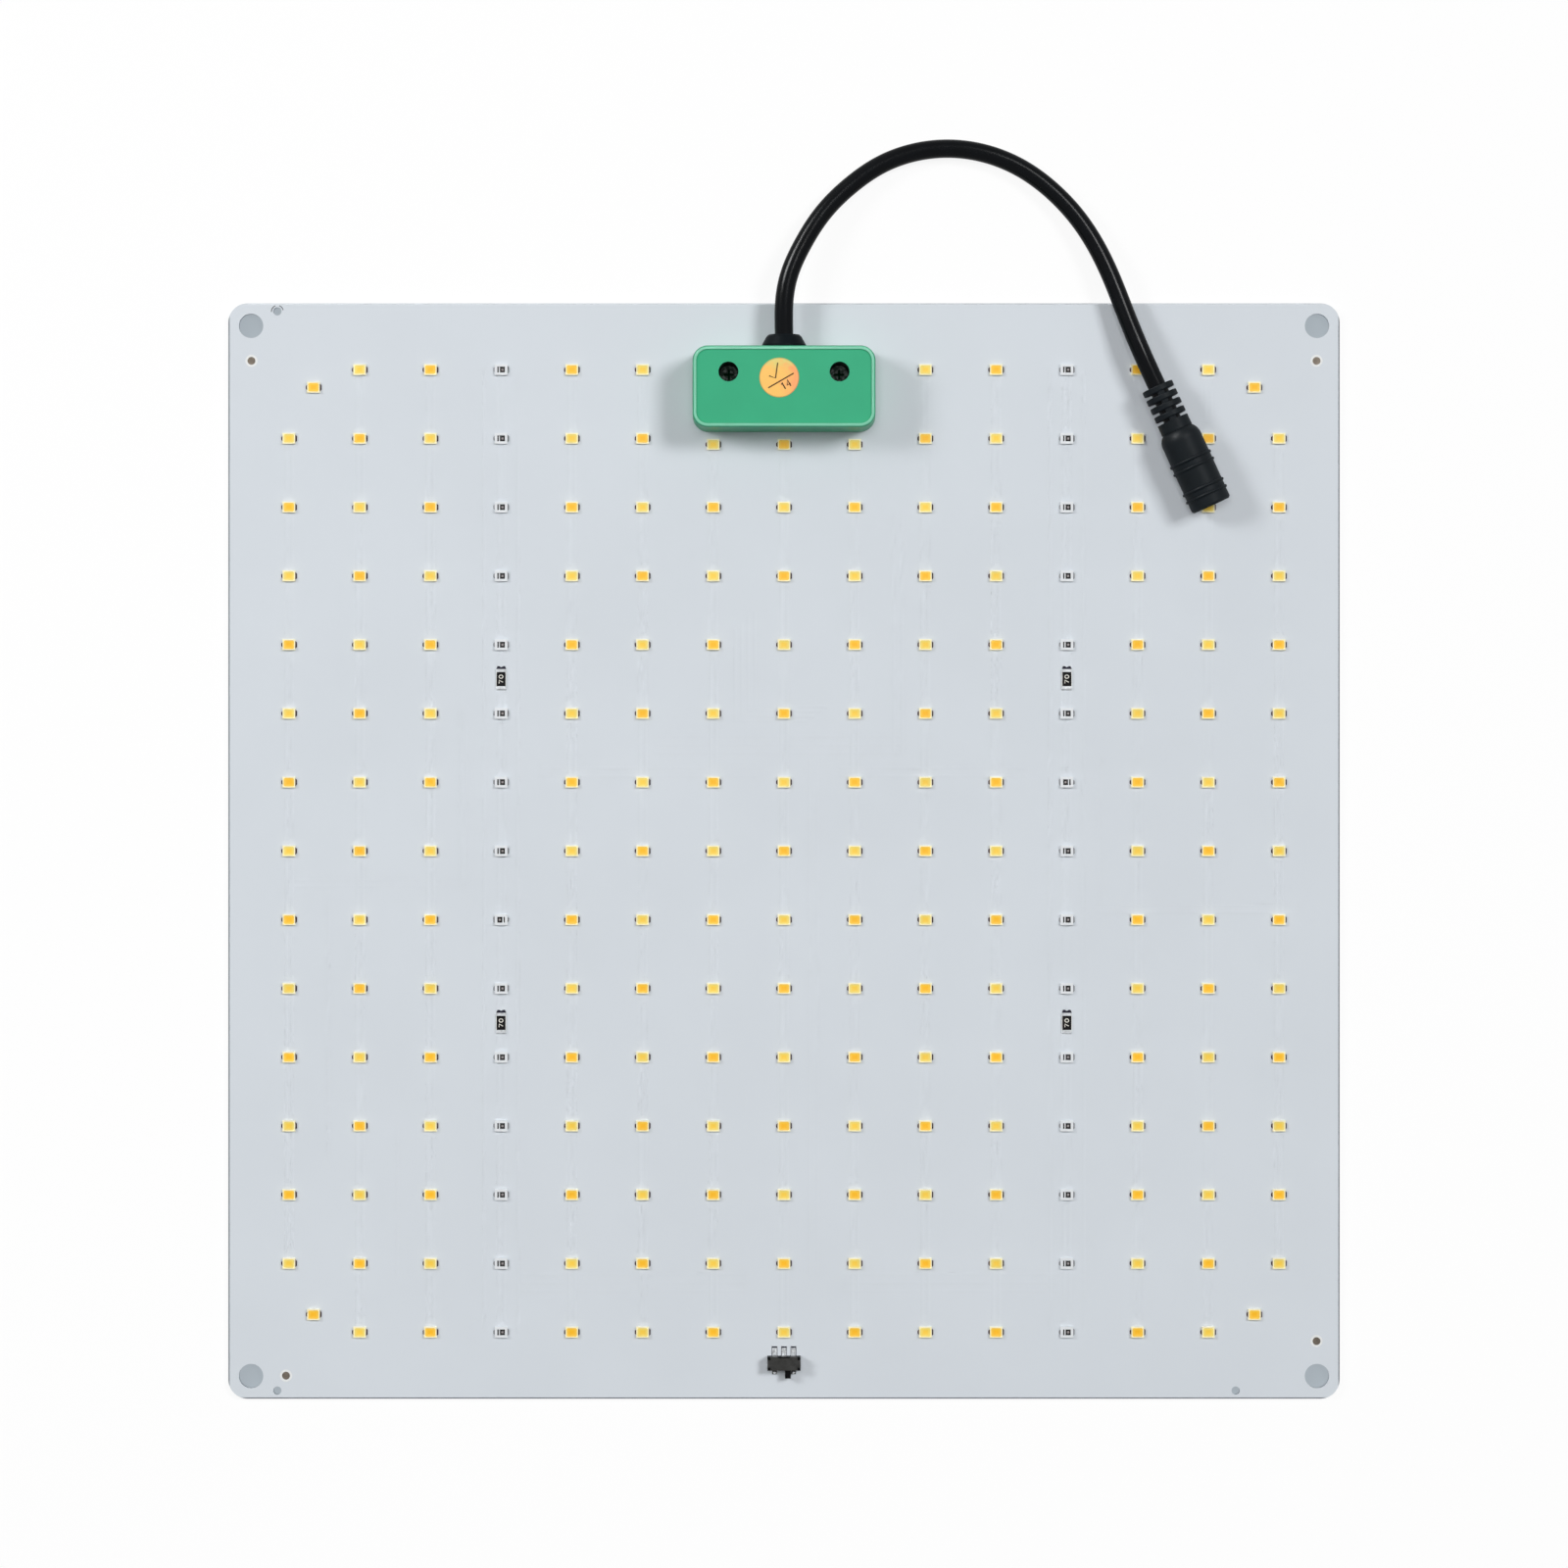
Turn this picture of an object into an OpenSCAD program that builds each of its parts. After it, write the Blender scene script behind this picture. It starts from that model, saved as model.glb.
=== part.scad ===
// LED grow light board: an aluminium-core panel with a grid of surface-mount LEDs, a slide switch,
// a screwed terminal cover and a short lead that ends in a round power socket.
// The board lies on its back. The origin is the centre of its back face, +Y points to the lead
// and +Z points out of the LED face.

/* [Board] */
// Width of the board along X
board_w = 283; // [260:1:320]
// Length of the board along Y
board_l = 279; // [260:1:320]
// Thickness of the board
board_t = 1.5; // [1:0.1:3]
// Radius of the board's corners
board_corner_r = 5; // [2:0.5:10]
// Bevel that the score cuts leave along the straight edges
edge_bevel = 0.35; // [0.1:0.05:0.5]
// Diameter of the four corner holes
hang_hole_d = 6.2; // [4:0.1:7]
// Corner holes' centres to the edges
hang_hole_inset = 5.8; // [4.5:0.1:9]
// Diameter of the three tooling holes
tool_hole_d = 2.1; // [1.5:0.1:3]
// Tooling holes' centres to the top or bottom edge
tool_hole_inset = 2.1; // [2:0.1:4]
// Left tooling holes' centres to the left edge
tool_hole_left = 12.5; // [12:0.5:30]
// Right tooling hole's centre to the right edge
tool_hole_right = 26.5; // [12:0.5:40]
// Diameter of the alignment dots
dot_d = 2; // [1:0.1:3]
// Thickness of the alignment dots' copper
dot_t = 0.04; // [0.02:0.01:0.1]
// Alignment dots' centres to the nearer edge
dot_near = 5.9; // [4:0.1:9]
// Alignment dots' centres to the farther edge of their corner
dot_far = 14.7; // [12:0.1:20]

/* [LED grid] */
// Least distance from the outer LEDs' centres to the board's edges
led_edge_min = 15; // [14.5:0.5:20]
// Distance between LED columns
col_pitch = 18; // [16:0.1:24]
// Distance between LED rows
row_pitch = 17.5; // [16:0.1:24]
// Number of columns from the middle one to the red one on each side
red_cols_out = 4; // [3:1:5]
// Number of rows from the middle one to the red LED that lies the other way round
turned_rows_out = 1; // [0:1:6]
// How far the four corner LEDs move in from the grid along X
corner_in_x = 6.25; // [0:0.25:7]
// How far the four corner LEDs move in from the grid along Y
corner_in_y = 4.5; // [0:0.25:7]
// Gap between the terminal cover and the LEDs in front of it
cover_led_gap = 1.85; // [0.5:0.05:4]

/* [LED package] */
// Length of a package along X
led_l = 3.2; // [2.9:0.05:4]
// Width of a package along Y
led_w = 2.75; // [2.5:0.05:3.5]
// Height of a package
led_h = 0.8; // [0.6:0.05:1.2]
// Depth of the cup in a package
cup_depth = 0.45; // [0.3:0.05:0.55]
// Length of a white LED's window
window_l = 2.65; // [2.2:0.05:2.8]
// Width of a white LED's window
window_w = 2.2; // [1.8:0.05:2.4]
// Bevel at the corners of a white LED's window
window_bevel = 0.3; // [0.1:0.05:0.6]
// How far the fill lies below the package's rim
fill_drop = 0.03; // [0.01:0.01:0.1]
// Length of the soldered terminal past each end
terminal_l = 0.4; // [0.2:0.05:0.6]
// Width of the left terminal
left_terminal_w = 1.4; // [0.9:0.1:2]
// Width of the right terminal
right_terminal_w = 1.9; // [1.2:0.1:2.4]
// How far each side of a terminal draws in towards its outer edge
terminal_taper = 0.35; // [0.1:0.05:0.4]
// Height that the solder climbs up the ends
terminal_h = 0.45; // [0.2:0.05:0.55]
// Height of the solder at its outer edge
terminal_toe = 0.1; // [0.05:0.01:0.15]
// Length of a red LED's window
red_window_l = 1.95; // [1.7:0.05:2.8]
// Width of a red LED's window
red_window_w = 1.5; // [1.2:0.05:2.2]
// Length of the narrow lead frame in a red LED
bond_pad_l = 0.36; // [0.3:0.02:0.6]
// Gap between a red LED's two lead frames
frame_gap = 0.3; // [0.15:0.01:0.4]
// Thickness of the lead frames
frame_t = 0.05; // [0.03:0.01:0.1]
// Width of a red LED's square die
die_w = 0.5; // [0.3:0.05:0.7]
// Height of a red LED's die
die_t = 0.12; // [0.08:0.01:0.2]

/* [Chip resistors] */
// Length along Y
resistor_l = 5; // [4:0.1:6.4]
// Width along X
resistor_w = 2.5; // [2:0.1:3.2]
// Height
resistor_h = 0.65; // [0.5:0.05:1]
// Length of each metal end cap
cap_l = 0.7; // [0.4:0.05:1]
// Thickness of the end caps' metal
cap_t = 0.05; // [0.03:0.01:0.1]
// Length of the solder in front of each end cap
cap_solder_l = 0.35; // [0.1:0.05:0.6]
// Thickness of the black coating
coat_t = 0.08; // [0.06:0.01:0.12]
// Bare ceramic left along each side of the coating
coat_inset = 0.12; // [0.05:0.01:0.3]
// Number of LED rows from the middle one to the resistors
resistor_rows_out = 2.5; // [0.5:1:4.5]

/* [Slide switch] */
// Width of the body along X
switch_w = 8.4; // [7.5:0.1:10]
// Depth of the body along Y
switch_d = 3.4; // [3:0.1:4]
// Height of the folded cover
switch_h = 3.5; // [3:0.1:5]
// Thickness of the cover's sheet
sheet_t = 0.25; // [0.15:0.05:0.35]
// Thickness of the base's floor
switch_floor = 0.9; // [0.7:0.05:1.1]
// Width of the four square corner posts
post_w = 0.75; // [0.5:0.05:0.9]
// How far the posts stand above the cover
post_proud = 0.1; // [0.05:0.05:0.3]
// Width of the base's rear tab
rear_tab_w = 3; // [2.4:0.1:3.6]
// Width of the two notches in the rear tab
notch_w = 0.3; // [0.2:0.05:0.5]
// Depth of the notches
notch_h = 0.4; // [0.2:0.05:0.8]
// Distance between the notches
notch_pitch = 1.1; // [0.9:0.05:1.4]
// Width of the knob
knob_w = 1.45; // [1:0.05:2]
// Height of the knob
knob_h = 1.3; // [1:0.05:1.5]
// How far the knob stands out of the body
knob_l = 2.1; // [1.5:0.1:3]
// Travel of the slider
switch_travel = 2; // [1.5:0.1:2.4]
// Running clearance around the slider
slide_gap = 0.1; // [0.05:0.01:0.15]
// Clearance between fixed switch pieces
switch_fit = 0.03; // [0.02:0.01:0.06]
// Height of the moving contact
contact_h = 0.35; // [0.25:0.05:0.5]
// Length of the moving contact along X
contact_l = 3.2; // [3.1:0.05:3.6]
// Width of the moving contact along Y
contact_w = 1.36; // [0.8:0.02:2]
// Length of a contact foot where it leaves the strip
foot_root_l = 0.6; // [0.4:0.05:0.7]
// Length of a contact foot where it meets a terminal
foot_tip_l = 0.3; // [0.2:0.05:0.4]
// Thickness of the moving contact's strip
contact_t = 0.14; // [0.1:0.01:0.18]
// Distance between the terminals
pin_pitch = 2.4; // [2.2:0.1:2.7]
// Width of the terminals
pin_w = 1.2; // [0.6:0.05:1.4]
// Thickness of the terminals
pin_t = 0.25; // [0.15:0.05:0.35]
// Length of the terminals behind the body
pin_l = 2.4; // [1.5:0.1:3.5]
// Length of the terminals inside the base
pin_inside_l = 2.55; // [2.2:0.05:2.8]
// Width of the cover's two soldered lugs
lug_w = 1.2; // [0.8:0.1:1.6]
// Length of the lugs in front of the body
lug_l = 1.3; // [0.8:0.1:1.8]
// Middle of the switch to the board's bottom edge
switch_inset = 9.3; // [7:0.1:10]

/* [Terminal cover] */
// Width of the cover along X
cover_w = 46.5; // [42:0.5:56]
// Length of the cover along Y
cover_l = 21; // [19:0.5:28]
// Height of the cover
cover_h = 14; // [13:0.5:20]
// Radius of the cover's upright corners
cover_corner_r = 4; // [3:0.25:6]
// Radius of the cover's top edge
cover_edge_r = 0.8; // [0.4:0.1:1]
// How far the walls lean in from the board to the top
cover_draft = 0.2; // [0.1:0.05:0.4]
// Wall of the cover
cover_wall = 1.6; // [1:0.1:2]
// Thickness of the cover's top
cover_top_t = 1.8; // [1.2:0.1:2.5]
// Width of the raised rim round the top
rim_w = 0.95; // [0.6:0.05:1.4]
// Height of the raised rim
rim_h = 0.4; // [0.2:0.05:0.6]
// Cover's back wall to the board's top edge
cover_inset = 11.8; // [10:0.1:16]
// Distance between the two screws
screw_spacing = 28; // [26:0.5:32]
// Screws' centres behind the middle of the cover
screw_back = 3.7; // [0:0.1:4]
// Diameter of the screw wells
well_d = 5; // [4.9:0.1:6]
// Wall of the posts round the wells
well_wall = 1.2; // [0.8:0.1:1.5]
// Thickness of the posts' floor under the screw heads
well_floor = 2.5; // [1.5:0.1:4]
// Diameter of the screws
screw_d = 2.6; // [2:0.1:3]
// Diameter of the screw heads
screw_head_d = 4.6; // [4:0.1:4.8]
// Height of the screw heads
screw_head_h = 1.7; // [1.2:0.1:2.4]
// Length of a cross recess's arm across the head
cross_l = 2.6; // [2:0.1:3]
// Width of a cross recess's arm
cross_w = 0.6; // [0.4:0.05:0.8]
// Depth of the cross recess
cross_depth = 1; // [0.6:0.1:1.1]
// Clearance round the screws in the board and in the cover
screw_fit = 0.06; // [0.03:0.01:0.15]
// How far the screw tips stay above the board's back
screw_tip_gap = 0.2; // [0.1:0.05:0.5]
// Diameter of the round sticker
sticker_d = 10; // [6:0.5:12]
// Thickness of the sticker
sticker_t = 0.1; // [0.05:0.01:0.2]
// Sticker's centre from the middle of the cover along X
sticker_x = -1.2; // [-3:0.1:3]
// Sticker's centre from the middle of the cover along Y
sticker_y = 2.2; // [-2:0.1:2.5]

/* [Cable gland and wires] */
// Height of the gland's axis above the board
gland_axis_h = 7; // [6:0.1:7]
// Diameter of the gland's flange
gland_d = 11.2; // [10:0.1:11.5]
// Diameter of the gland's nose
gland_nose_d = 9; // [7:0.1:10]
// Length of the gland outside the cover
gland_l = 3; // [2:0.1:5]
// Thickness of the gland's flange
gland_flange_t = 0.5; // [0.3:0.1:1]
// Radius at the gland's nose
gland_nose_r = 0.5; // [0.2:0.1:0.8]
// Diameter of the gland's neck in the wall
gland_neck_d = 7.6; // [6:0.1:8]
// Diameter of the gland's lip inside the cover
gland_lip_d = 9; // [8.4:0.1:9.6]
// Length of the lip inside the cover
gland_lip_l = 1.6; // [1:0.1:2.5]
// Clearance round the gland's neck
gland_fit = 0.08; // [0.04:0.01:0.15]
// Diameter of the two insulated wires
wire_d = 1.7; // [1.2:0.1:2]
// Distance between the wires where they leave the gland
wire_pitch = 2.4; // [2.2:0.1:3]
// Distance between the wires' solder joints
joint_spacing = 12; // [8:0.5:13]
// Solder joints' centres in front of the middle of the cover
joint_front = 4; // [2:0.5:6]
// Diameter of a solder joint at the board
joint_d = 3.4; // [2.8:0.1:4]
// Diameter of a solder joint's top
joint_top_d = 2; // [1.8:0.1:2.4]
// Height of a solder joint
joint_h = 1; // [0.6:0.1:1.6]

/* [Power cable and socket] */
// Diameter of the cable
cable_d = 4.7; // [4:0.1:5]
// Diameter of the socket's barrel
barrel_d = 10.5; // [10:0.1:12]
// Width of a half-round grip ridge
ridge_w = 0.8; // [0.5:0.05:1.2]
// First grip ridge from the start of the barrel
ridge_first = 5.3; // [2:0.1:6]
// Distance between the two ridges of a pair
ridge_step = 2; // [1.5:0.1:2.5]
// Distance between the two pairs of ridges
ridge_pair_step = 7.7; // [5:0.1:8]
// Length of the barrel
barrel_l = 18.1; // [17.5:0.1:22]
// Length of the shoulder between neck and barrel
shoulder_l = 2.9; // [1.5:0.1:4]
// How far the shoulder's arc starts inside the neck
shoulder_sink = 0.2; // [0.1:0.05:0.4]
// Diameter of the neck
neck_d = 8.2; // [7.5:0.1:9]
// Length of the neck
neck_l = 2.8; // [1.5:0.1:4]
// Diameter of the strain relief's rings
relief_d = 8.2; // [7:0.1:9]
// Number of rings
relief_rings = 4; // [3:1:6]
// Distance between rings
relief_pitch = 2.35; // [2:0.05:3]
// Thickness of a ring
relief_ring_t = 1.55; // [1:0.05:1.8]
// Radius at the rings' outer edges
ring_edge_r = 0.3; // [0.1:0.05:0.45]
// Width of the spines that join the rings
spine_w = 1.7; // [0.8:0.1:2]
// How far the spines stay below the rings' rounded edges
spine_drop = 0.15; // [0.1:0.05:0.5]
// Bevel at the socket's mouth
mouth_bevel = 0.4; // [0.2:0.05:0.6]
// Diameter of the bore that holds the insert
insert_bore_d = 8; // [7.6:0.1:8.6]
// Depth of that bore
insert_bore_l = 14; // [12.5:0.1:16]
// Clearance between the socket's pieces
socket_fit = 0.03; // [0.02:0.01:0.06]
// How far the insert's face lies inside the mouth
insert_drop = 0.3; // [0.1:0.1:0.8]
// Diameter of the socket that takes a plug
socket_d = 5.7; // [5.6:0.05:6]
// Depth of the socket
socket_depth = 9.5; // [9:0.1:11]
// Diameter of the centre pin
pin_d = 2; // [1.6:0.05:2.5]
// How far the centre pin's tip lies inside the insert's face
pin_recess = 0.5; // [0.2:0.1:1.5]
// Length of the pin that is held in the insert
pin_hold_l = 3; // [2:0.1:3]
// Diameter of the pin's held end
pin_hold_d = 2.6; // [2.6:0.1:3.5]
// Width of the spring contact
leaf_w = 2; // [1.4:0.1:2.4]
// Thickness of the spring contact
leaf_t = 0.25; // [0.2:0.05:0.3]
// Length of the spring contact
leaf_l = 7.5; // [5:0.1:8]
// How far the spring contact bows into the socket
leaf_bow = 0.3; // [0.1:0.05:0.5]
// Gap under the socket where it lies on an LED
rest_gap = 0.1; // [0.05:0.05:0.3]

/* [Hidden] */
$fn = 64;
// Overlap that carries a cut past the face it opens
past = 1;

// Columns and rows that fit on each side of the middle ones, and places on the board
half_cols = floor((board_w / 2 - led_edge_min) / col_pitch);
half_rows = floor((board_l / 2 - led_edge_min) / row_pitch);
hang_x = board_w / 2 - hang_hole_inset;
hang_y = board_l / 2 - hang_hole_inset;
tool_y = board_l / 2 - tool_hole_inset;
dot_places = [
    [dot_near - board_w / 2, board_l / 2 - dot_far],
    [board_w / 2 - dot_near, board_l / 2 - dot_far],
    [dot_far - board_w / 2, dot_near - board_l / 2],
    [board_w / 2 - dot_near, dot_far - board_l / 2]];

// Places of the cover and of what hangs on it
cover_back_y = board_l / 2 - cover_inset;
cover_y = cover_back_y - cover_l / 2;
cover_front_y = cover_back_y - cover_l;
cover_face_h = cover_h - rim_h;
screw_hole_d = screw_d + 2 * screw_fit;
gland_end_y = cover_back_y + gland_l;
gland_inner_y = cover_back_y - cover_wall - gland_fit - gland_lip_l;

// LED sites: the LEDs that would touch the cover move in front of it, or are left out under it
led_reach = led_l / 2 + terminal_l;
last_y = cover_front_y - cover_led_gap - led_w / 2;
function by_cover(x) = abs(x) < cover_w / 2 + led_reach + cover_led_gap;
function grid_corner(i, j) = abs(i) == half_cols && abs(j) == half_rows;
function site_x(i, j) = i * col_pitch - (grid_corner(i, j) ? sign(i) * corner_in_x : 0);
function row_y(i, j) = j * row_pitch - (grid_corner(i, j) ? sign(j) * corner_in_y : 0);
function site_y(i, j) = by_cover(site_x(i, j)) ? min(row_y(i, j), last_y) : row_y(i, j);
function covered(i, j) = row_y(i, j) - site_y(i, j) > row_pitch / 2;
function is_red(i) = abs(i) == red_cols_out;
function is_turned(i, j) = j == sign(i) * turned_rows_out;
function is_warm(i, j) = grid_corner(i, j) || (i + j) % 2 == 0;
grid = [for (i = [-half_cols:half_cols]) for (j = [-half_rows:half_rows]) if (!covered(i, j)) [i, j]];
function sites(cells) = [for (c = cells) [site_x(c[0], c[1]), site_y(c[0], c[1])]];
red_cells = [for (c = grid) if (is_red(c[0])) c];
warm_sites = sites([for (c = grid) if (!is_red(c[0]) && is_warm(c[0], c[1])) c]);
cool_sites = sites([for (c = grid) if (!is_red(c[0]) && !is_warm(c[0], c[1])) c]);
white_sites = concat(warm_sites, cool_sites);
cup_floor = led_h - cup_depth;
die_pad_l = red_window_l - bond_pad_l - frame_gap;
die_pad_x = red_window_l / 2 - die_pad_l / 2;

// Switch: its place at the bottom edge, and the heights of its moving pieces
switch_y = switch_inset - board_l / 2;
slider_x = switch_travel / 2;
slider_floor = switch_floor + contact_h;
slider_top = switch_h - sheet_t - slide_gap;
carriage_w = switch_w - 2 * (post_w + slide_gap) - switch_travel;
carriage_d = switch_d - 2 * (sheet_t + slide_gap);
knob_z = (slider_floor + slider_top) / 2;

// Socket: lengths from the cable's end, and how it lies
neck_start = relief_rings * relief_pitch;
shoulder_start = neck_start + neck_l;
barrel_start = shoulder_start + shoulder_l;
socket_l = barrel_start + barrel_l;
insert_start = socket_l - insert_bore_l + socket_fit;
insert_face = socket_l - insert_drop;
socket_floor = insert_face - socket_depth;
leaf_start = socket_floor + (socket_depth - leaf_l) / 2;
// Outer face of the flat spring contact, whose two edges meet the round bore
leaf_r = sqrt(pow(insert_bore_d / 2 - socket_fit, 2) - pow(leaf_w / 2, 2));
ridge_d = barrel_d + ridge_w;
socket_axis_z = board_t + max(led_h + barrel_d / 2, ridge_d / 2) + rest_gap;

// Cable route from the gland's nose to the socket, in X and Y from the nose and in Z above the surface
cable_exit_z = board_t + gland_axis_h;
cable_route = [
    [0, 0, cable_exit_z], [0, 7.4, cable_exit_z], [1.2, 14.9, 8], [4.6, 22.9, 6.8], [10, 31.4, 5.4],
    [17, 38.5, 4.1], [25, 44, 3.2], [34, 47.2, 2.6], [43, 48, 2.5], [52, 46.5, 2.5],
    [60.5, 42.9, 2.5], [68, 37.4, 2.8], [74.5, 30.4, 3.4], [79.6, 22.4, 4.3], [83.5, 13.9, 5.3],
    [86.8, 5.2, 6.4], [90.98, -5.2, socket_axis_z], [94.5, -12.9, socket_axis_z]];
route_last = len(cable_route) - 1;
socket_run = cable_route[route_last] - cable_route[route_last - 1];
socket_turn = atan2(socket_run[1], socket_run[0]);
cable_sides = 12;
wire_sides = 8;
wire_steps = 10;

// A tube swept along points: one ring of corners per point, square to the path there
function unit(v) = v / norm(v);
function heading(pts, k) = unit(pts[min(k + 1, len(pts) - 1)] - pts[max(k - 1, 0)]);
function ring(p, along, side_hint, r, sides) =
    let (u = unit(cross(along, side_hint)), v = cross(u, along))
    [for (s = [0:sides - 1]) p + r * (cos(360 * s / sides) * u + sin(360 * s / sides) * v)];

module swept_tube(pts, r, sides, side_hint) {
    last = len(pts) - 1;
    corners = [for (k = [0:last]) each ring(pts[k], heading(pts, k), side_hint, r, sides)];
    walls = [for (k = [0:last - 1]) for (s = [0:sides - 1])
        let (a = k * sides + s, b = k * sides + (s + 1) % sides)
        each [[a, b, b + sides], [a, b + sides, a + sides]]];
    start_cap = [for (s = [sides - 1:-1:0]) s];
    end_cap = [for (s = [0:sides - 1]) last * sides + s];
    polyhedron(corners, concat(walls, [start_cap, end_cap]));
}

function bezier(a, b, c, d, t) =
    a * pow(1 - t, 3) + 3 * b * t * pow(1 - t, 2) + 3 * c * t * t * (1 - t) + d * pow(t, 3);

// Common shapes and placements
module block(size, at = [0, 0, 0]) {
    translate([at[0] - size[0] / 2, at[1] - size[1] / 2, at[2]]) cube(size);
}

module rounded_plate(w, l, h, r) {
    linear_extrude(h) {
        square([w - 2 * r, l], center = true);
        square([w, l - 2 * r], center = true);
        for (x = [-1, 1], y = [-1, 1]) translate([x * (w / 2 - r), y * (l / 2 - r)]) circle(r);
    }
}

module on_board(places) {
    for (p = places) translate([p[0], p[1], board_t]) children();
}

module at_red_leds() {
    for (c = red_cells) on_board(sites([c])) rotate(is_turned(c[0], c[1]) ? 180 : 0) children();
}

module at_resistors() {
    for (x = [-1, 1], y = [-1, 1])
        translate([x * red_cols_out * col_pitch, y * resistor_rows_out * row_pitch, board_t]) children();
}

module at_screws() {
    for (x = [-1, 1]) translate([x * screw_spacing / 2, cover_y + screw_back, board_t]) children();
}

module at_switch() {
    translate([0, switch_y, board_t]) children();
}

module at_cover() {
    translate([0, cover_y, board_t]) children();
}

module at_socket() {
    translate([0, gland_end_y, 0] + cable_route[route_last]) rotate([0, 90, socket_turn]) children();
}

// A profile drawn in Y and Z, carried along X
module across_x(w) {
    rotate([90, 0, 90]) linear_extrude(w, center = true) children();
}

// A profile drawn in X and Z, carried along Y
module across_y(w) {
    rotate([90, 0, 0]) linear_extrude(w, center = true) children();
}

// Board
module edge_cut(reach, length) {
    for (side = [0, 180], face = [0, 1]) rotate(side) translate([0, 0, face * board_t])
        mirror([0, 0, face]) across_y(length + 2 * past)
            polygon([[reach - edge_bevel - past, -past], [reach + past, -past],
                [reach + past, edge_bevel + past]]);
}

module board_hole(x, y, d) {
    translate([x, y, -past]) cylinder(h = board_t + 2 * past, d = d);
}

module circuit_board() {
    color("gainsboro") difference() {
        rounded_plate(board_w, board_l, board_t, board_corner_r);
        edge_cut(board_w / 2, board_l);
        rotate(90) edge_cut(board_l / 2, board_w);
        for (x = [-1, 1], y = [-1, 1]) board_hole(x * hang_x, y * hang_y, hang_hole_d);
        for (y = [-1, 1]) board_hole(tool_hole_left - board_w / 2, y * tool_y, tool_hole_d);
        board_hole(board_w / 2 - tool_hole_right, -tool_y, tool_hole_d);
        at_screws() translate([0, 0, -board_t - past]) cylinder(h = board_t + 2 * past, d = screw_hole_d);
    }
}

module alignment_dots() {
    color("peru") on_board(dot_places) cylinder(h = dot_t, d = dot_d);
}

// LEDs
module white_window() {
    x = window_l / 2;
    y = window_w / 2;
    polygon([[-x, window_bevel - y], [window_bevel - x, -y], [x - window_bevel, -y], [x, window_bevel - y],
        [x, y - window_bevel], [x - window_bevel, y], [window_bevel - x, y], [-x, y - window_bevel]]);
}

module red_window() {
    square([red_window_l, red_window_w], center = true);
}

// A window's outline carried up from the floor of the cup
module in_cup(h) {
    translate([0, 0, cup_floor]) linear_extrude(h) children();
}

module led_housing() {
    difference() {
        block([led_l, led_w, led_h]);
        in_cup(cup_depth + past) children();
    }
}

module white_led_housings() {
    color("white") on_board(white_sites) led_housing() white_window();
}

module phosphor() {
    in_cup(cup_depth - fill_drop) white_window();
}

module warm_phosphor() {
    color("orange") on_board(warm_sites) phosphor();
}

module cool_phosphor() {
    color("khaki") on_board(cool_sites) phosphor();
}

module red_led_housings() {
    color("white") at_red_leds() led_housing() red_window();
}

module lead_frames() {
    block([bond_pad_l, red_window_w, frame_t], [(bond_pad_l - red_window_l) / 2, 0, cup_floor]);
    block([die_pad_l, red_window_w, frame_t], [die_pad_x, 0, cup_floor]);
}

module led_die() {
    block([die_w, die_w, die_t], [die_pad_x, 0, cup_floor + frame_t]);
}

module red_led_frames() {
    color("dimgray") at_red_leds() lead_frames();
}

module red_led_dies() {
    color("darkred") at_red_leds() led_die();
}

module red_led_fills() {
    color("lavender") at_red_leds() difference() {
        in_cup(cup_depth - fill_drop) red_window();
        lead_frames();
        led_die();
    }
}

// A sloped solder fillet that narrows away from the package
module terminal(w) {
    start = led_l / 2;
    end = start + terminal_l;
    toe = w / 2 - terminal_taper;
    intersection() {
        across_y(w) polygon([[start, 0], [end, 0], [end, terminal_toe], [start, terminal_h]]);
        linear_extrude(terminal_h) polygon([[start, -w / 2], [end, -toe], [end, toe], [start, w / 2]]);
    }
}

module terminal_pair() {
    terminal(right_terminal_w);
    rotate(180) terminal(left_terminal_w);
}

module white_led_terminals() {
    color("gray") on_board(white_sites) terminal_pair();
}

module red_led_terminals() {
    color("silver") at_red_leds() terminal_pair();
}

// Chip resistors
module resistor_bodies() {
    color("whitesmoke") at_resistors()
        block([resistor_w, resistor_l, resistor_h - 2 * cap_t], [0, 0, cap_t]);
}

module resistor_coatings() {
    color("black") at_resistors()
        block([resistor_w - 2 * coat_inset, resistor_l - 2 * cap_l, coat_t], [0, 0, resistor_h - cap_t]);
}

module resistor_end_caps() {
    end = resistor_l / 2;
    inner = end - cap_l;
    outer = end + cap_t;
    color("silver") at_resistors() for (side = [0, 180]) rotate(side) across_x(resistor_w)
        polygon([[inner, 0], [outer + cap_solder_l, 0], [outer, resistor_h / 2], [outer, resistor_h],
            [inner, resistor_h], [inner, resistor_h - cap_t], [end, resistor_h - cap_t], [end, cap_t],
            [inner, cap_t]]);
}

// Slide switch
module at_posts() {
    for (x = [-1, 1], y = [-1, 1])
        translate([x * (switch_w - post_w) / 2, y * (switch_d - post_w) / 2, 0]) children();
}

module at_pins() {
    for (k = [-1, 0, 1]) translate([k * pin_pitch, 0, 0]) children();
}

module at_lugs() {
    for (x = [-1, 1]) translate([x * pin_pitch, 0, 0]) children();
}

module pin_profile() {
    rear = switch_d / 2;
    inner = rear - pin_inside_l;
    under = switch_floor - pin_t;
    polygon([[inner, under], [rear, under], [rear, 0], [rear + pin_l, 0], [rear + pin_l, pin_t],
        [rear + pin_t, pin_t], [rear + pin_t, switch_floor], [inner, switch_floor]]);
}

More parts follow.
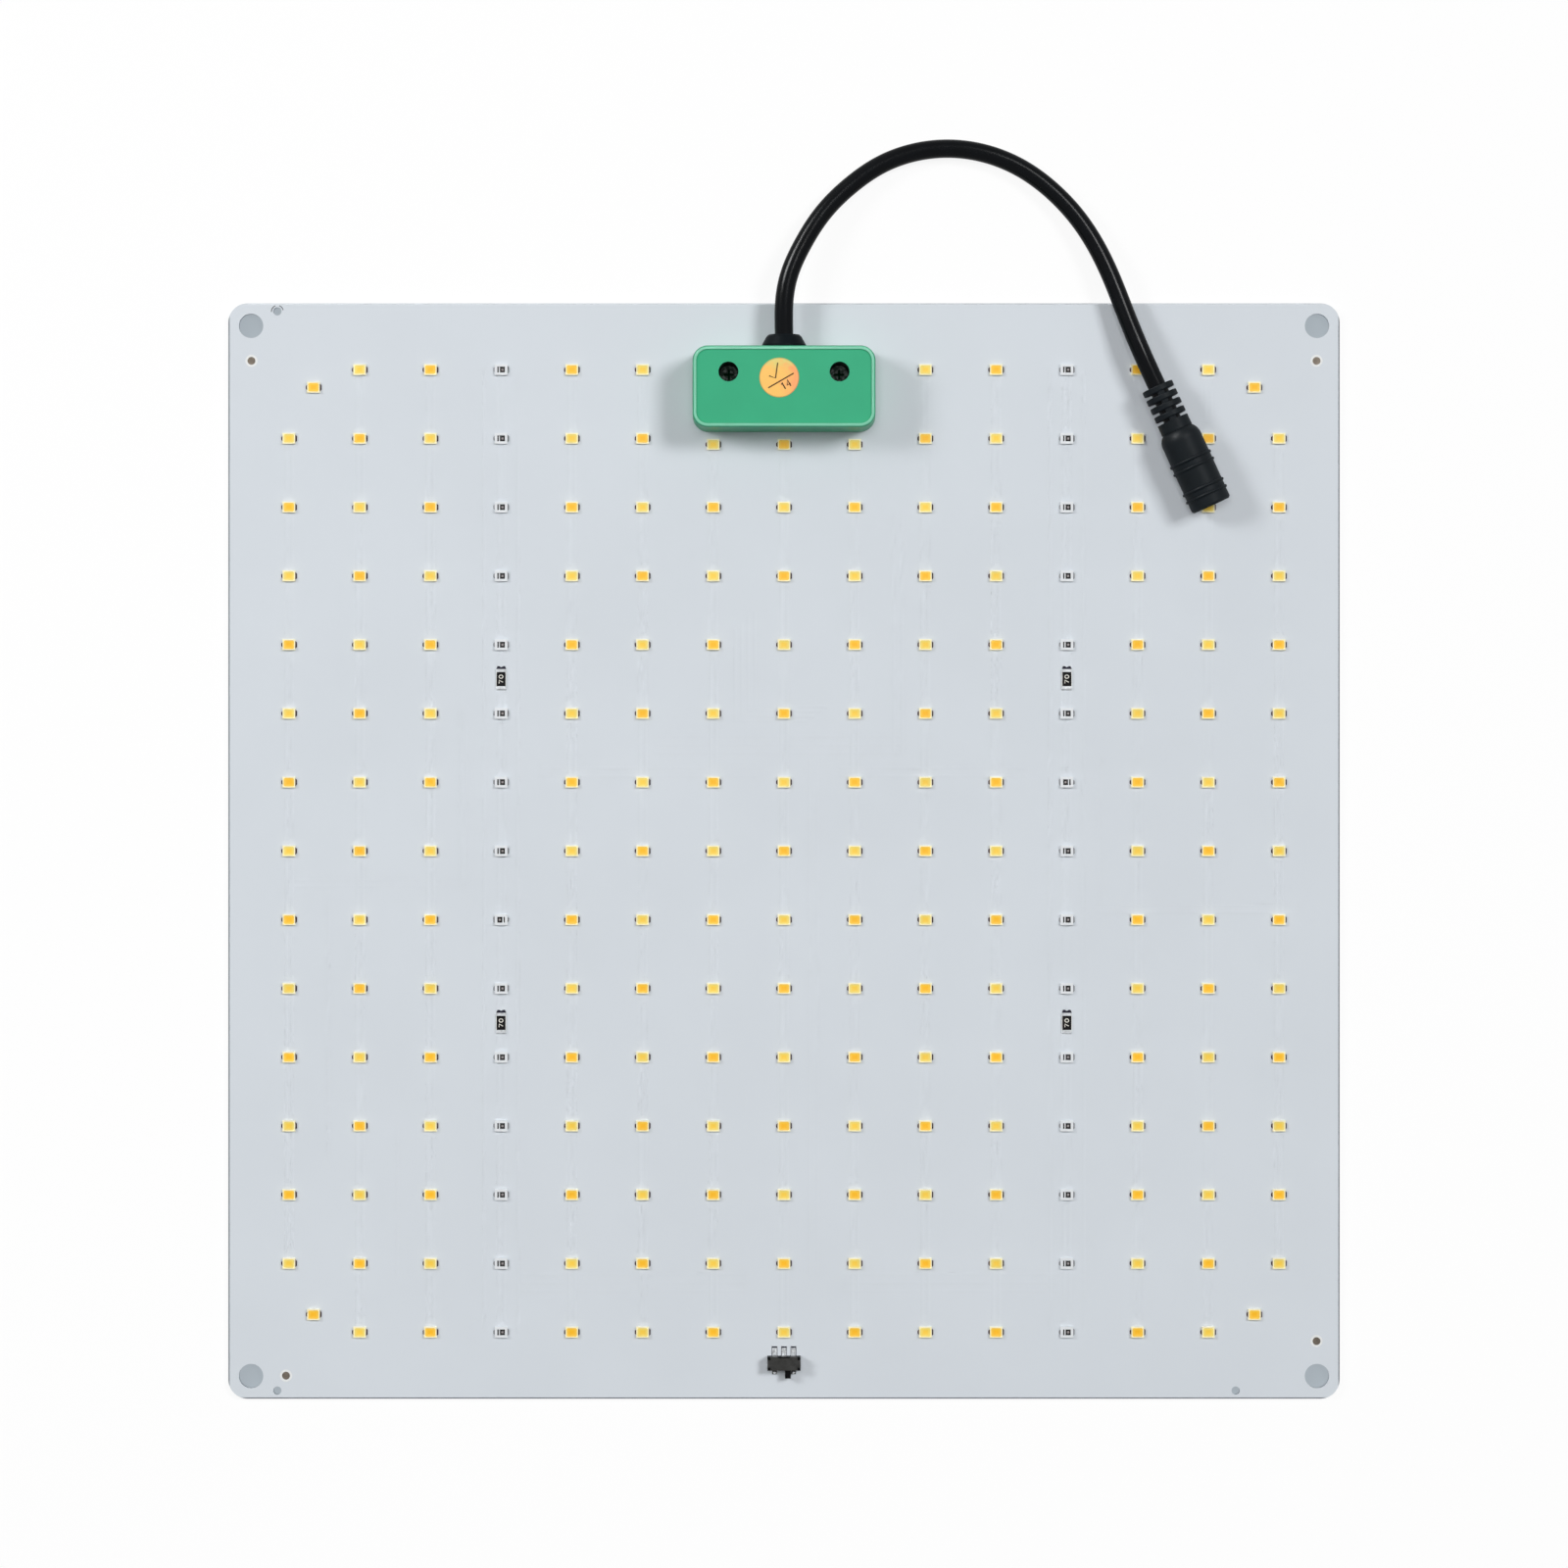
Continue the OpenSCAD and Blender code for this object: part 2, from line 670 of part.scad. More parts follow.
module switch_base() {
    rear = switch_d / 2;
    top = switch_h + post_proud;
    channel_l = pin_inside_l + past;
    lug_room = [lug_w + 2 * switch_fit, 2 * (sheet_t + switch_fit), switch_floor + 2 * past];
    color("black") at_switch() difference() {
        union() {
            block([switch_w, switch_d, switch_floor]);
            at_posts() block([post_w, post_w, top]);
            block([rear_tab_w, sheet_t, top], [0, rear - sheet_t / 2, 0]);
        }
        at_pins() block([pin_w, channel_l, pin_t + past],
            [0, rear + past - channel_l / 2, switch_floor - pin_t]);
        at_lugs() block(lug_room, [0, -rear, -past]);
        for (x = [-1, 1]) translate([x * notch_pitch / 2, rear, top - notch_h])
            block([notch_w, 4 * sheet_t, notch_h + past]);
    }
}

module switch_cover() {
    front = -switch_d / 2;
    notch = 2 * (post_w + switch_fit);
    slot_w = knob_w + switch_travel + 2 * slide_gap;
    slot_h = knob_h + 2 * slide_gap;
    color("dimgray") at_switch() {
        difference() {
            block([switch_w, switch_d, switch_h - switch_floor], [0, 0, switch_floor]);
            block([switch_w - 2 * sheet_t, switch_d - 2 * sheet_t, switch_h - sheet_t]);
            for (x = [-1, 1], y = [-1, 1])
                block([notch, notch, switch_h + past], [x * switch_w / 2, y * switch_d / 2, 0]);
            block([slot_w, 4 * sheet_t, slot_h], [0, front, knob_z - slot_h / 2]);
            block([rear_tab_w + 2 * switch_fit, 2 * (sheet_t + switch_fit), switch_h + past],
                [0, -front, 0]);
            block([switch_w + past, 2 * sheet_t, switch_floor + sheet_t], [0, -front, 0]);
        }
        at_lugs() across_x(lug_w)
            polygon([[front - lug_l, 0], [front + sheet_t, 0], [front + sheet_t, switch_floor + sheet_t],
                [front, switch_floor + sheet_t], [front, sheet_t], [front - lug_l, sheet_t]]);
    }
}

module switch_slider() {
    knob_end = -switch_d / 2 - knob_l;
    color("black") at_switch() translate([slider_x, 0, 0]) {
        block([carriage_w, carriage_d, slider_top - slider_floor], [0, 0, slider_floor]);
        block([knob_w, -knob_end, knob_h], [0, knob_end / 2, knob_z - knob_h / 2]);
    }
}

module switch_contact() {
    under = slider_floor - contact_t;
    low = switch_floor + switch_fit;
    color("goldenrod") at_switch() translate([slider_x, 0, 0]) {
        block([contact_l, contact_w, contact_t], [0, 0, under]);
        for (x = [-1, 1]) translate([x * pin_pitch / 2, 0, 0]) across_y(contact_w)
            polygon([[-foot_root_l / 2, under], [foot_root_l / 2, under], [foot_tip_l / 2, low],
                [-foot_tip_l / 2, low]]);
    }
}

module switch_terminals() {
    color("silver") at_switch() at_pins() across_x(pin_w) pin_profile();
}

// Terminal cover
// Half a cross-section: a wall that leans in and a rounded top edge
module cover_section(half) {
    lean = half - cover_draft;
    arc_x = lean - cover_edge_r;
    arc_y = cover_h - cover_edge_r;
    polygon([[0, 0], [half, 0], [lean, arc_y], [arc_x, cover_h], [0, cover_h]]);
    translate([arc_x, arc_y]) circle(cover_edge_r);
}

module mirrored() {
    children();
    mirror([1, 0]) children();
}

module cover_outside() {
    x = cover_w / 2 - cover_corner_r;
    y = cover_l / 2 - cover_corner_r;
    across_x(2 * x) mirrored() cover_section(cover_l / 2);
    across_y(2 * y) mirrored() cover_section(cover_w / 2);
    for (turn = [0:90:270]) let (odd = turn % 180 / 90)
        rotate(turn) translate([odd ? y : x, odd ? x : y, 0])
            rotate_extrude(angle = 90) cover_section(cover_corner_r);
}

module terminal_cover() {
    rim = cover_draft + rim_w;
    hole_d = gland_neck_d + 2 * gland_fit;
    color("mediumseagreen") difference() {
        union() {
            at_cover() difference() {
                cover_outside();
                translate([0, 0, cover_face_h])
                    rounded_plate(cover_w - 2 * rim, cover_l - 2 * rim, rim_h + past, cover_corner_r - rim);
                translate([0, 0, -past]) rounded_plate(cover_w - 2 * cover_wall, cover_l - 2 * cover_wall,
                    cover_face_h - cover_top_t + past, cover_corner_r - cover_wall);
            }
            at_screws() cylinder(h = cover_face_h - cover_top_t / 2, d = well_d + 2 * well_wall);
        }
        at_screws() translate([0, 0, well_floor]) cylinder(h = cover_h, d = well_d);
        at_screws() translate([0, 0, -past]) cylinder(h = cover_h, d = screw_hole_d);
        translate([0, cover_back_y + past, board_t + gland_axis_h])
            rotate([90, 0, 0]) cylinder(h = cover_wall + 2 * past, d = hole_d);
    }
}

module cover_screws() {
    tip = board_t - screw_tip_gap;
    color("dimgray") at_screws() difference() {
        union() {
            translate([0, 0, well_floor]) cylinder(h = screw_head_h, d = screw_head_d);
            translate([0, 0, -tip]) cylinder(h = tip + well_floor + screw_head_h / 2, d = screw_d);
        }
        for (turn = [0, 90]) rotate(turn)
            block([cross_l, cross_w, cross_depth + past], [0, 0, well_floor + screw_head_h - cross_depth]);
    }
}

module inspection_sticker() {
    color("gold") at_cover() translate([sticker_x, sticker_y, cover_face_h])
        cylinder(h = sticker_t, d = sticker_d);
}

// Gland, wires and their joints
module cable_gland() {
    lip = cover_wall + gland_fit;
    nose_r = gland_nose_d / 2;
    color("black") translate([0, cover_back_y, board_t + gland_axis_h]) rotate([-90, 0, 0]) rotate_extrude()
        polygon([[0, -lip - gland_lip_l], [gland_neck_d / 2, -lip - gland_lip_l], [gland_lip_d / 2, -lip],
            [gland_neck_d / 2, -lip], [gland_neck_d / 2, 0], [gland_d / 2, 0],
            [gland_d / 2, gland_flange_t], [nose_r, gland_l - gland_nose_r],
            [nose_r - gland_nose_r, gland_l], [0, gland_l]]);
}

module wire(side) {
    start = [side * wire_pitch / 2, gland_inner_y, board_t + gland_axis_h];
    finish = [side * joint_spacing / 2, cover_y - joint_front, board_t + joint_h];
    bend = (start[1] - finish[1]) / 2;
    leave = start - [0, bend, 0];
    arrive = finish + [0, 0, bend];
    middle = [for (k = [1:wire_steps - 1]) bezier(start, leave, arrive, finish, k / wire_steps)];
    straight = wire_d / 4;
    path = concat([start, start - [0, straight, 0]], middle, [finish + [0, 0, straight], finish]);
    swept_tube(path, wire_d / 2, wire_sides, [1, 0, 0]);
}

module positive_wire() {
    color("firebrick") wire(1);
}

module negative_wire() {
    color("black") wire(-1);
}

module wire_joints() {
    color("silver") at_cover() for (x = [-1, 1]) translate([x * joint_spacing / 2, -joint_front, 0])
        cylinder(h = joint_h, d1 = joint_d, d2 = joint_top_d);
}

// Power cable and its socket
module power_cable() {
    inside = cable_route[route_last] + neck_start * unit(socket_run);
    color("black") translate([0, gland_end_y, 0])
        swept_tube(concat(cable_route, [inside]), cable_d / 2, cable_sides, [0, 0, 1]);
}

// Half-sections of the socket: distance from the axis, and distance along it from the strain relief's end
module ring_section() {
    edge = relief_d / 2 - ring_edge_r;
    square([edge, relief_ring_t]);
    translate([0, ring_edge_r]) square([relief_d / 2, relief_ring_t - 2 * ring_edge_r]);
    for (u = [ring_edge_r, relief_ring_t - ring_edge_r]) translate([edge, u]) circle(ring_edge_r);
}

// An arc that swells out of the neck and runs level into the barrel
module shoulder_section() {
    rise = (barrel_d - neck_d) / 2 + shoulder_sink;
    arc_r = (pow(shoulder_l, 2) + pow(rise, 2)) / (2 * rise);
    intersection() {
        translate([barrel_d / 2 - arc_r, barrel_start]) circle(arc_r);
        translate([0, shoulder_start]) square([barrel_d / 2, shoulder_l]);
    }
}

module barrel_section() {
    r = barrel_d / 2;
    difference() {
        union() {
            translate([0, barrel_start]) polygon([[0, 0], [r, 0], [r, barrel_l - mouth_bevel],
                [r - mouth_bevel, barrel_l], [0, barrel_l]]);
            for (pair = [0, 1], k = [0, 1])
                translate([r, barrel_start + ridge_first + pair * ridge_pair_step + k * ridge_step])
                    circle(ridge_w / 2);
        }
        translate([0, socket_l - insert_bore_l]) square([insert_bore_d / 2, insert_bore_l + past]);
    }
}

module socket_section() {
    for (k = [0:relief_rings - 1]) translate([0, k * relief_pitch]) ring_section();
    translate([0, neck_start]) square([neck_d / 2, neck_l]);
    shoulder_section();
    barrel_section();
}

module socket_shell() {
    spine_h = relief_d - 2 * (ring_edge_r + spine_drop);
    spine_l = neck_start + neck_l / 2;
    color("black") at_socket() difference() {
        union() {
            rotate_extrude() socket_section();
            block([spine_h, spine_w, spine_l]);
        }
        translate([0, 0, -past]) cylinder(h = neck_start + past, d = cable_d + 2 * socket_fit);
    }
}

module leaf_slot() {
    slot_h = insert_bore_d - socket_d + 2 * leaf_bow;
    block([slot_h, leaf_w + 2 * socket_fit, leaf_l + 2 * socket_fit],
        [insert_bore_d / 2, 0, leaf_start - socket_fit]);
}

module socket_insert() {
    outer = insert_bore_d / 2 - socket_fit;
    hole = pin_hold_d / 2 + socket_fit;
    hole_end = socket_floor - pin_hold_l - socket_fit;
    color("darkslategray") at_socket() difference() {
        rotate_extrude() polygon([[hole, hole_end], [hole, socket_floor], [socket_d / 2, socket_floor],
            [socket_d / 2, insert_face], [outer, insert_face], [outer, insert_start], [0, insert_start],
            [0, hole_end]]);
        leaf_slot();
    }
}

module socket_pin() {
    tip = insert_face - pin_recess;
    r = pin_d / 2;
    nose = [for (a = [0:15:75]) [r * cos(a), tip - r * (1 - sin(a))]];
    color("silver") at_socket() rotate_extrude()
        polygon(concat([[0, socket_floor - pin_hold_l], [pin_hold_d / 2, socket_floor - pin_hold_l],
            [pin_hold_d / 2, socket_floor], [r, socket_floor]], nose, [[0, tip]]));
}

module socket_contact() {
    outer = leaf_r;
    bowed = socket_d / 2 - leaf_bow;
    bend = leaf_start + leaf_l / 4;
    crest = leaf_start + 2 * leaf_l / 3;
    end = leaf_start + leaf_l;
    color("silver") at_socket() across_y(leaf_w)
        polygon([[outer, leaf_start], [outer, bend], [bowed + leaf_t, crest], [outer - leaf_t, end],
            [outer - 2 * leaf_t, end], [bowed, crest], [outer - leaf_t, bend],
            [outer - leaf_t, leaf_start]]);
}

circuit_board();
alignment_dots();
white_led_housings();
warm_phosphor();
cool_phosphor();
red_led_housings();
red_led_frames();
red_led_dies();
red_led_fills();
white_led_terminals();
red_led_terminals();
resistor_bodies();
resistor_coatings();
resistor_end_caps();
switch_base();
switch_cover();
switch_slider();
switch_contact();
switch_terminals();
terminal_cover();
cover_screws();
inspection_sticker();
cable_gland();
positive_wire();
negative_wire();
wire_joints();
power_cable();
socket_shell();
socket_insert();
socket_pin();
socket_contact();
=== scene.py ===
"""Looks of an LED grow light board: finishes, power cable, the fine forms on it and a studio stage."""

import math

import bmesh
import bpy
import numpy as np
from bpy.props import FloatProperty, FloatVectorProperty, PointerProperty
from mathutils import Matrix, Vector


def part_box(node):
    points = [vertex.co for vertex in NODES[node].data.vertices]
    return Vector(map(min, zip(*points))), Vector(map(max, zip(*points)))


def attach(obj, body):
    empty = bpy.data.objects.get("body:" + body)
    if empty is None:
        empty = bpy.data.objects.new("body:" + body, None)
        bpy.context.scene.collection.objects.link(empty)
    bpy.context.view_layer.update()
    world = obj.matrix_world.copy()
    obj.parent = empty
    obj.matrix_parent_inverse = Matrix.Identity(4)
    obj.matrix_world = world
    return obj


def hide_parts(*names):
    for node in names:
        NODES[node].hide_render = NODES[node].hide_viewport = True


bl_info = {
    "name": "LED grow light board",
    "version": (1, 0, 0),
    "blender": (4, 5, 0),
    "location": "3D View > Sidebar > Grow light",
    "description": "Finishes, power cable and studio stage of a board of LEDs with a slide switch",
    "category": "Object",
}

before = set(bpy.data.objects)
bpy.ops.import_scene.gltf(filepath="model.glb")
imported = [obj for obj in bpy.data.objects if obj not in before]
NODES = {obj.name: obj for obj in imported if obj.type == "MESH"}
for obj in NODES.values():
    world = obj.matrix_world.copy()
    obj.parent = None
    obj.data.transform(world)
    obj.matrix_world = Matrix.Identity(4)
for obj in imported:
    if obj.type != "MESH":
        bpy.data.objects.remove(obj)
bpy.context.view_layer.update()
MM = 0.001
UP = np.array((0.0, 0.0, 1.0))
BOARD_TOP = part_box("circuit_board")[1].z

# Cable route in millimetres: X and Y from the gland's nose, Z above the surface that the board lies on
CABLE_ROUTE = (
    (0, 0, 8.5), (0, 7.4, 8.5), (1.2, 14.9, 8), (4.6, 22.9, 6.8), (10, 31.4, 5.4), (17, 38.5, 4.1),
    (25, 44, 3.2), (34, 47.2, 2.6), (43, 47.96, 2.5), (52, 46.5, 2.5), (60.5, 42.9, 2.5), (68, 37.4, 2.8),
    (74.5, 30.4, 3.4), (79.6, 22.4, 4.3), (83.5, 13.9, 5.3), (86.8, 5.2, 6.4), (90.98, -5.2, 7.65),
    (94.5, -12.9, 7.65),
)

# Copper runs under the mask: how many lie side by side, and points in millimetres from the board's middle
TRACK_RUNS = (
    (4, ((-12.5, 57), (-12.5, 33), (6, 33))),
    (3, ((-33, 25), (30, 25))),
    (2, ((30, 25), (30, 86))),
    (2, ((-62, 19), (-5, 19))),
    (2, ((14, 19), (62, 19))),
    (2, ((6.4, 24), (6.4, -108))),
    (2, ((-126, -9), (-81, -9), (-81, 35))),
    (1, ((-116, -12), (-116, -78))),
    (2, ((132, -14), (81, -14), (81, 24))),
    (3, ((-67, -112), (-10, -112))),
    (3, ((15, -112), (70, -112))),
    (1, ((-98.5, -70), (-98.5, -108))),
)

# Marks drawn as strokes in a cell one unit wide; an oval is drawn from its middle and its half sizes
STROKES = {
    "1": (((0.2, 1.25), (0.55, 1.6), (0.55, 0)),),
    "4": (((0.75, 0), (0.75, 1.6), (0, 0.5), (1, 0.5)),),
    "7": (((0, 1.6), (0.95, 1.6), (0.35, 0)),),
    "tick": (((0, 0.7), (0.5, 0.1), (1.6, 1.5)),),
}
OVALS = {"0": ((0.5, 0.8), (0.5, 0.8))}

# Noise keeps mostly between these two
NOISE_LOW = 0.3
NOISE_HIGH = 0.7

# How far roughness swings about its middle, and strength of the bump of a plain finish
ROUGH_SWING = 0.05
GRAIN_STRENGTH = 0.6

# Points that agree to so many decimals of a metre are one
SAME_DECIMALS = 7

# Plain greys in linear light
WHITE = (1, 1, 1)
PAPER = (0.93, 0.93, 0.93)
GLASSY = (0.9, 0.9, 0.9)

# Points along the cable and flats round it
CABLE_STEPS = 240
CABLE_FLATS = 32

# How far a normal has to point upwards on the flat mask, and upwards or backwards on a score cut's slope
FLAT_NORMAL = 0.9
SLOPED_NORMAL = 0.2

# Heights of copper runs as shares of the track height; runs that cross differ, so no two tops meet
COLUMN_SHARE = 1.0
FLANK_SHARE = 0.8
BUS_SHARES = (0.6, 0.4)

# Arcs pressed round a tooling hole: its middle and their radius in millimetres, their ends in degrees
HOLE_MIDDLE = (-129, 137.4)
HOLE_MARK_R = 1.5
HOLE_ARCS = ((12, 72), (108, 186))
ARC_POINTS = 16

# Seed of the small differences between the white LEDs' gels, and the dimmest as a share of its colour
GEL_SEED = 7
DIMMEST = (0.93, 0.93, 0.93)

# Shares of the way out along a gel's profile: over its floor, up its wall and in over its dish
GEL_SHARES = (0, 1, 1, 0.86, 0.6, 0.3, 0)

# Profiles as pairs of a share of the way out and a height, in dishes of clear gel or in heights of solder
LENS_LEVELS = ((0, -2), (1, -2), (1, 0), (0.8, -0.4), (0.5, -0.8), (0, -1))
TIP_LEVELS = ((0, 0), (1, 0), (1, 0.6), (0.8, 1), (0, 1))
EDGE_LEVELS = ((0, 0), (1, 0), (0.7, 0.6), (0, 0.6))
BEAD_LEVELS = ((0, 0), (1, 0), (0.9, 0.55), (0.6, 0.9), (0.25, 1), (0, 1))

# Number on a resistor in millimetres: cell of one unit, step between figures and start from the middle
NUMBER_TEXT = "70"
NUMBER_CELL = (0.85, 0.62)
NUMBER_STEP = 1.28
NUMBER_START = (0.48, -1.1)

# Solder at a resistor's end: shares by which it narrows on its way out and falls short in the middle
FILLET_TAPER = 0.22
FILLET_DIP = 0.35

# Marks on the sticker in millimetres along and across a line through its middle, whose turn is in degrees
STICKER_TURN = 30
RULE_ENDS = (-3.7, 3.7)
RULE_ACROSS = -0.9
RULE_POINTS = 8
TICK_AT = (-2.0, 0.1)
TICK_CELL = (2.2, 2.2)
STAMP_TEXT = "14"
STAMP_AT = (-0.6, -3.3)
STAMP_CELL = (0.95, 1.15)
STAMP_STEP = 1.35


def tone(red, green, blue):
    """Linear light of an sRGB colour given from 0 to 255."""
    s = np.array((red, green, blue)) / 255
    return tuple(float(v) for v in np.where(s <= 0.04045, s / 12.92, ((s + 0.055) / 1.055) ** 2.4))


def size(name, description, millimetres):
    """A length that a user may change, given in millimetres and kept in metres."""
    return FloatProperty(name=name, description=description, default=millimetres * MM, min=0,
                         precision=6, subtype="DISTANCE", unit="LENGTH")


def colour(name, description, red, green, blue):
    """A colour that a user may change, given as sRGB from 0 to 255."""
    return FloatVectorProperty(name=name, description=description, default=tone(red, green, blue),
                               min=0, max=1, subtype="COLOR")


def point(name, description, x, y, z):
    """A point that a user may change, in metres."""
    return FloatVectorProperty(name=name, description=description, default=(x, y, z),
                               subtype="TRANSLATION", unit="LENGTH")


def power(name, description, watts):
    """A lamp's power that a user may change."""
    return FloatProperty(name=name, description=description, default=watts, min=0, subtype="POWER")


class GrowLightSizes(bpy.types.PropertyGroup):
    """Sizes of the forms that are modelled here."""

    cable_d: size("Cable diameter", "Outside diameter of the power cable", 4.7)
    cable_inside: size("Cable in the socket", "Length of cable inside the socket's strain relief", 9.4)
    track_w: size("Track width", "Width of a copper run under the mask", 0.7)
    track_h: size("Track height", "Height of a copper run under the mask", 0.009)
    track_edge: size("Track edge", "Width of the mask's slope beside a copper run", 0.12)
    pair_step: size("Pair step", "Distance between the two runs in an LED column", 1.5)
    flank_step: size("Flank step", "Distance from a red column to the runs beside it", 4.3)
    run_step: size("Run step", "Distance between runs that lie side by side", 2.1)
    row_gap: size("Gap at a package", "Distance that a run stays from the middle of a package", 1.5)
    halo_d: size("Clearing diameter", "Diameter of the mask opening round an alignment dot", 3.1)
    halo_t: size("Clearing thickness", "Thickness of the laminate shown in that opening", 0.01)
    window_bevel: size("Window bevel", "Bevel at the corners of a white LED's window", 0.3)
    gel_dish: size("Gel dish", "How far the gel's middle lies below its edge", 0.06)
    lens_dish: size("Lens dish", "Depth of the dish in the clear gel, and half of the gel's depth", 0.05)
    mark_w: size("Mark width", "Width of a stroke on the sticker", 0.34)
    number_w: size("Number width", "Width of a stroke on a resistor", 0.2)
    mark_t: size("Mark thickness", "Thickness of the ink of a printed mark", 0.012)
    hole_line: size("Hole mark width", "Width of the lines pressed beside a tooling hole", 0.22)
    fillet_h: size("Solder height", "Height of the solder that climbs a resistor's end", 0.5)
    fillet_reach: size("Solder reach", "How far that solder runs over the board", 0.75)
    fillet_gap: size("Solder gap", "Gap between that solder and the resistor's end", 0.06)
    fillet_lift: size("Solder lift", "Height of that solder's outer edge", 0.02)
    tip_l: size("Tip length", "Length of the solder at the tip of a foot of the switch", 0.42)
    tip_margin: size("Tip margin", "How far that solder stands out on each side of the foot", 0.06)
    bead_w: size("Bead width", "Width of the solder beads in front of the switch", 1.32)
    bead_l: size("Bead length", "Length of those beads", 0.9)
    bead_h: size("Bead height", "Height of those beads, and of the tips above the feet's undersides", 0.3)
    bead_in: size("Bead inset", "How far a bead's middle lies behind the switch's front", 0.4)
    # The dark solder along the switch's feet is drawn in a painted reflection colour
    edge_w: size("Solder edge", "Width of the dark solder along a foot of the switch", 0.24)
    rim_w: size("Rim width", "Distance from the cover's foot to the inside of its raised rim", 1.15)
    rim_r: size("Rim corner", "Corner radius of the inside of the raised rim", 2.85)
    rim_line: size("Rim line", "Width of the shaded line inside the raised rim", 0.35)
    # The pale top of the rim is a painted highlight, full down to one depth and faded by the other
    rim_pale: size("Rim pale", "Depth below the rim's top down to which it is fully pale", 0.1)
    rim_fade: size("Rim fade", "Depth below the rim's top at which its pale edge has faded", 0.3)
    well_r: size("Well radius", "Radius of the screw wells in the cover", 2.5)
    well_gap: size("Well gap", "Margin round a well within which the plastic darkens", 0.02)
    # The darkening down the screw wells is painted shade, between these two depths
    well_dim: size("Well dim", "Depth at which a screw well starts to darken", 0.4)
    well_dusk: size("Well dusk", "Depth at which a screw well is fully dark", 1.6)
    recess: size("Recess", "Depth below a screw's head that counts as its cross", 0.12)


class GrowLightColours(bpy.types.PropertyGroup):
    """Colours of the finishes."""

    mask: colour("Mask", "White coating of the LED face", 209, 215, 221)
    laminate: colour("Laminate", "Bare laminate round the alignment dots", 226, 228, 228)
    aluminium: colour("Aluminium", "Bare edge and back of the board", 176, 181, 186)
    copper: colour("Copper", "Alignment dots", 94, 87, 79)
    cream: colour("Cream plastic", "Packages of the white LEDs", 250, 240, 200)
    white: colour("White plastic", "Packages of the red LEDs", 222, 225, 228)
    warm_core: colour("Warm gel", "Middle of a warm LED's gel", 255, 190, 30)
    warm_edge: colour("Warm gel edge", "Edge of a warm LED's gel", 252, 208, 84)
    cool_core: colour("Cool gel", "Middle of a cool LED's gel", 250, 208, 74)
    cool_edge: colour("Cool gel edge", "Edge of a cool LED's gel", 240, 222, 128)
    # Painted shade: the white LEDs' terminals are drawn dark, standing in for the shade at the packages'
    # ends
    dark_solder: colour("Dark solder", "Terminals of the white LEDs", 78, 64, 68)
    # Painted reflection: a dark tone that stands in for the room's dark side mirrored in steep solder
    painted_reflection_solder: colour("Shaded solder", "Steep solder that mirrors the room's dark side", 38, 38, 50)
    grey_solder: colour("Grey solder", "Terminals of the red LEDs", 138, 140, 143)
    solder: colour("Solder", "Caps of the resistors, beads at the switch and joints", 176, 179, 182)
    tinned: colour("Tinned metal", "Feet of the switch", 188, 191, 194)
    # Painted reflection: the silver lead frames are drawn near black, as a dark reflection
    lead_frame: colour("Lead frame", "Metal in the red LEDs", 20, 18, 19)
    die: colour("Die", "Chip in the red LEDs", 142, 134, 134)
    ceramic: colour("Ceramic", "Bodies of the resistors", 236, 236, 232)
    coating: colour("Coating", "Tops of the resistors", 12, 12, 13)
    ink: colour("Ink", "Numbers on the resistors", 232, 230, 222)
    switch_sheet: colour("Switch sheet", "Folded cover of the switch", 52, 52, 51)
    black: colour("Black plastic", "Gland and socket", 10, 16, 20)
    switch_black: colour("Switch plastic", "Base and knob of the switch", 7, 7, 8)
    bronze: colour("Bronze", "Moving contact", 168, 126, 70)
    green: colour("Green plastic", "Terminal cover", 58, 167, 124)
    # Painted highlight: a paler green on the raised rim, as if it caught the lamps
    green_rim_painted_highlight: colour("Green edge", "Raised rim of the terminal cover", 130, 203, 173)
    green_line: colour("Green line", "Shaded line inside the raised rim", 48, 153, 112)
    # Painted shade: near black green for the depth of the wells and the screws' crosses
    well: colour("Well", "Depth of the screw wells and the screws' crosses", 2, 30, 15)
    screw: colour("Screw", "Screws of the terminal cover", 33, 44, 38)
    # Painted highlight: bright glints scattered over the screws' heads
    screw_painted_glint: colour("Screw glint", "Bright grains on the screws", 112, 120, 116)
    gold: colour("Gold", "Middle of the round sticker", 224, 175, 90)
    gold_green: colour("Gold, far side", "Sticker towards the cable", 196, 190, 112)
    gold_rose: colour("Gold, right side", "Sticker towards the right", 225, 150, 94)
    sticker_ink: colour("Sticker ink", "Marks on the sticker", 74, 46, 14)
    red_wire: colour("Red wire", "Positive wire in the cover", 176, 34, 30)
    jacket: colour("Cable jacket", "Power cable and negative wire", 4, 6, 9)
    plated: colour("Plated contact", "Metal in the power socket", 198, 194, 184)
    mark: colour("Hole mark", "Pressed mark by a tooling hole", 70, 74, 78)
    # Painted shade and painted light: the score cut's slope is darker where it faces away from the lamps
    # and paler along the far edge, which faces them
    cut: colour("Cut edge", "Slope that a score cut leaves, in shade", 112, 118, 124)
    cut_painted_light: colour("Cut edge, lit", "The same slope along the far edge", 196, 201, 205)
    # Painted shadow: a grey that stands in for the floor in shade under the board
    under: colour("Under the board", "Surface seen through the board's holes", 168, 177, 184)


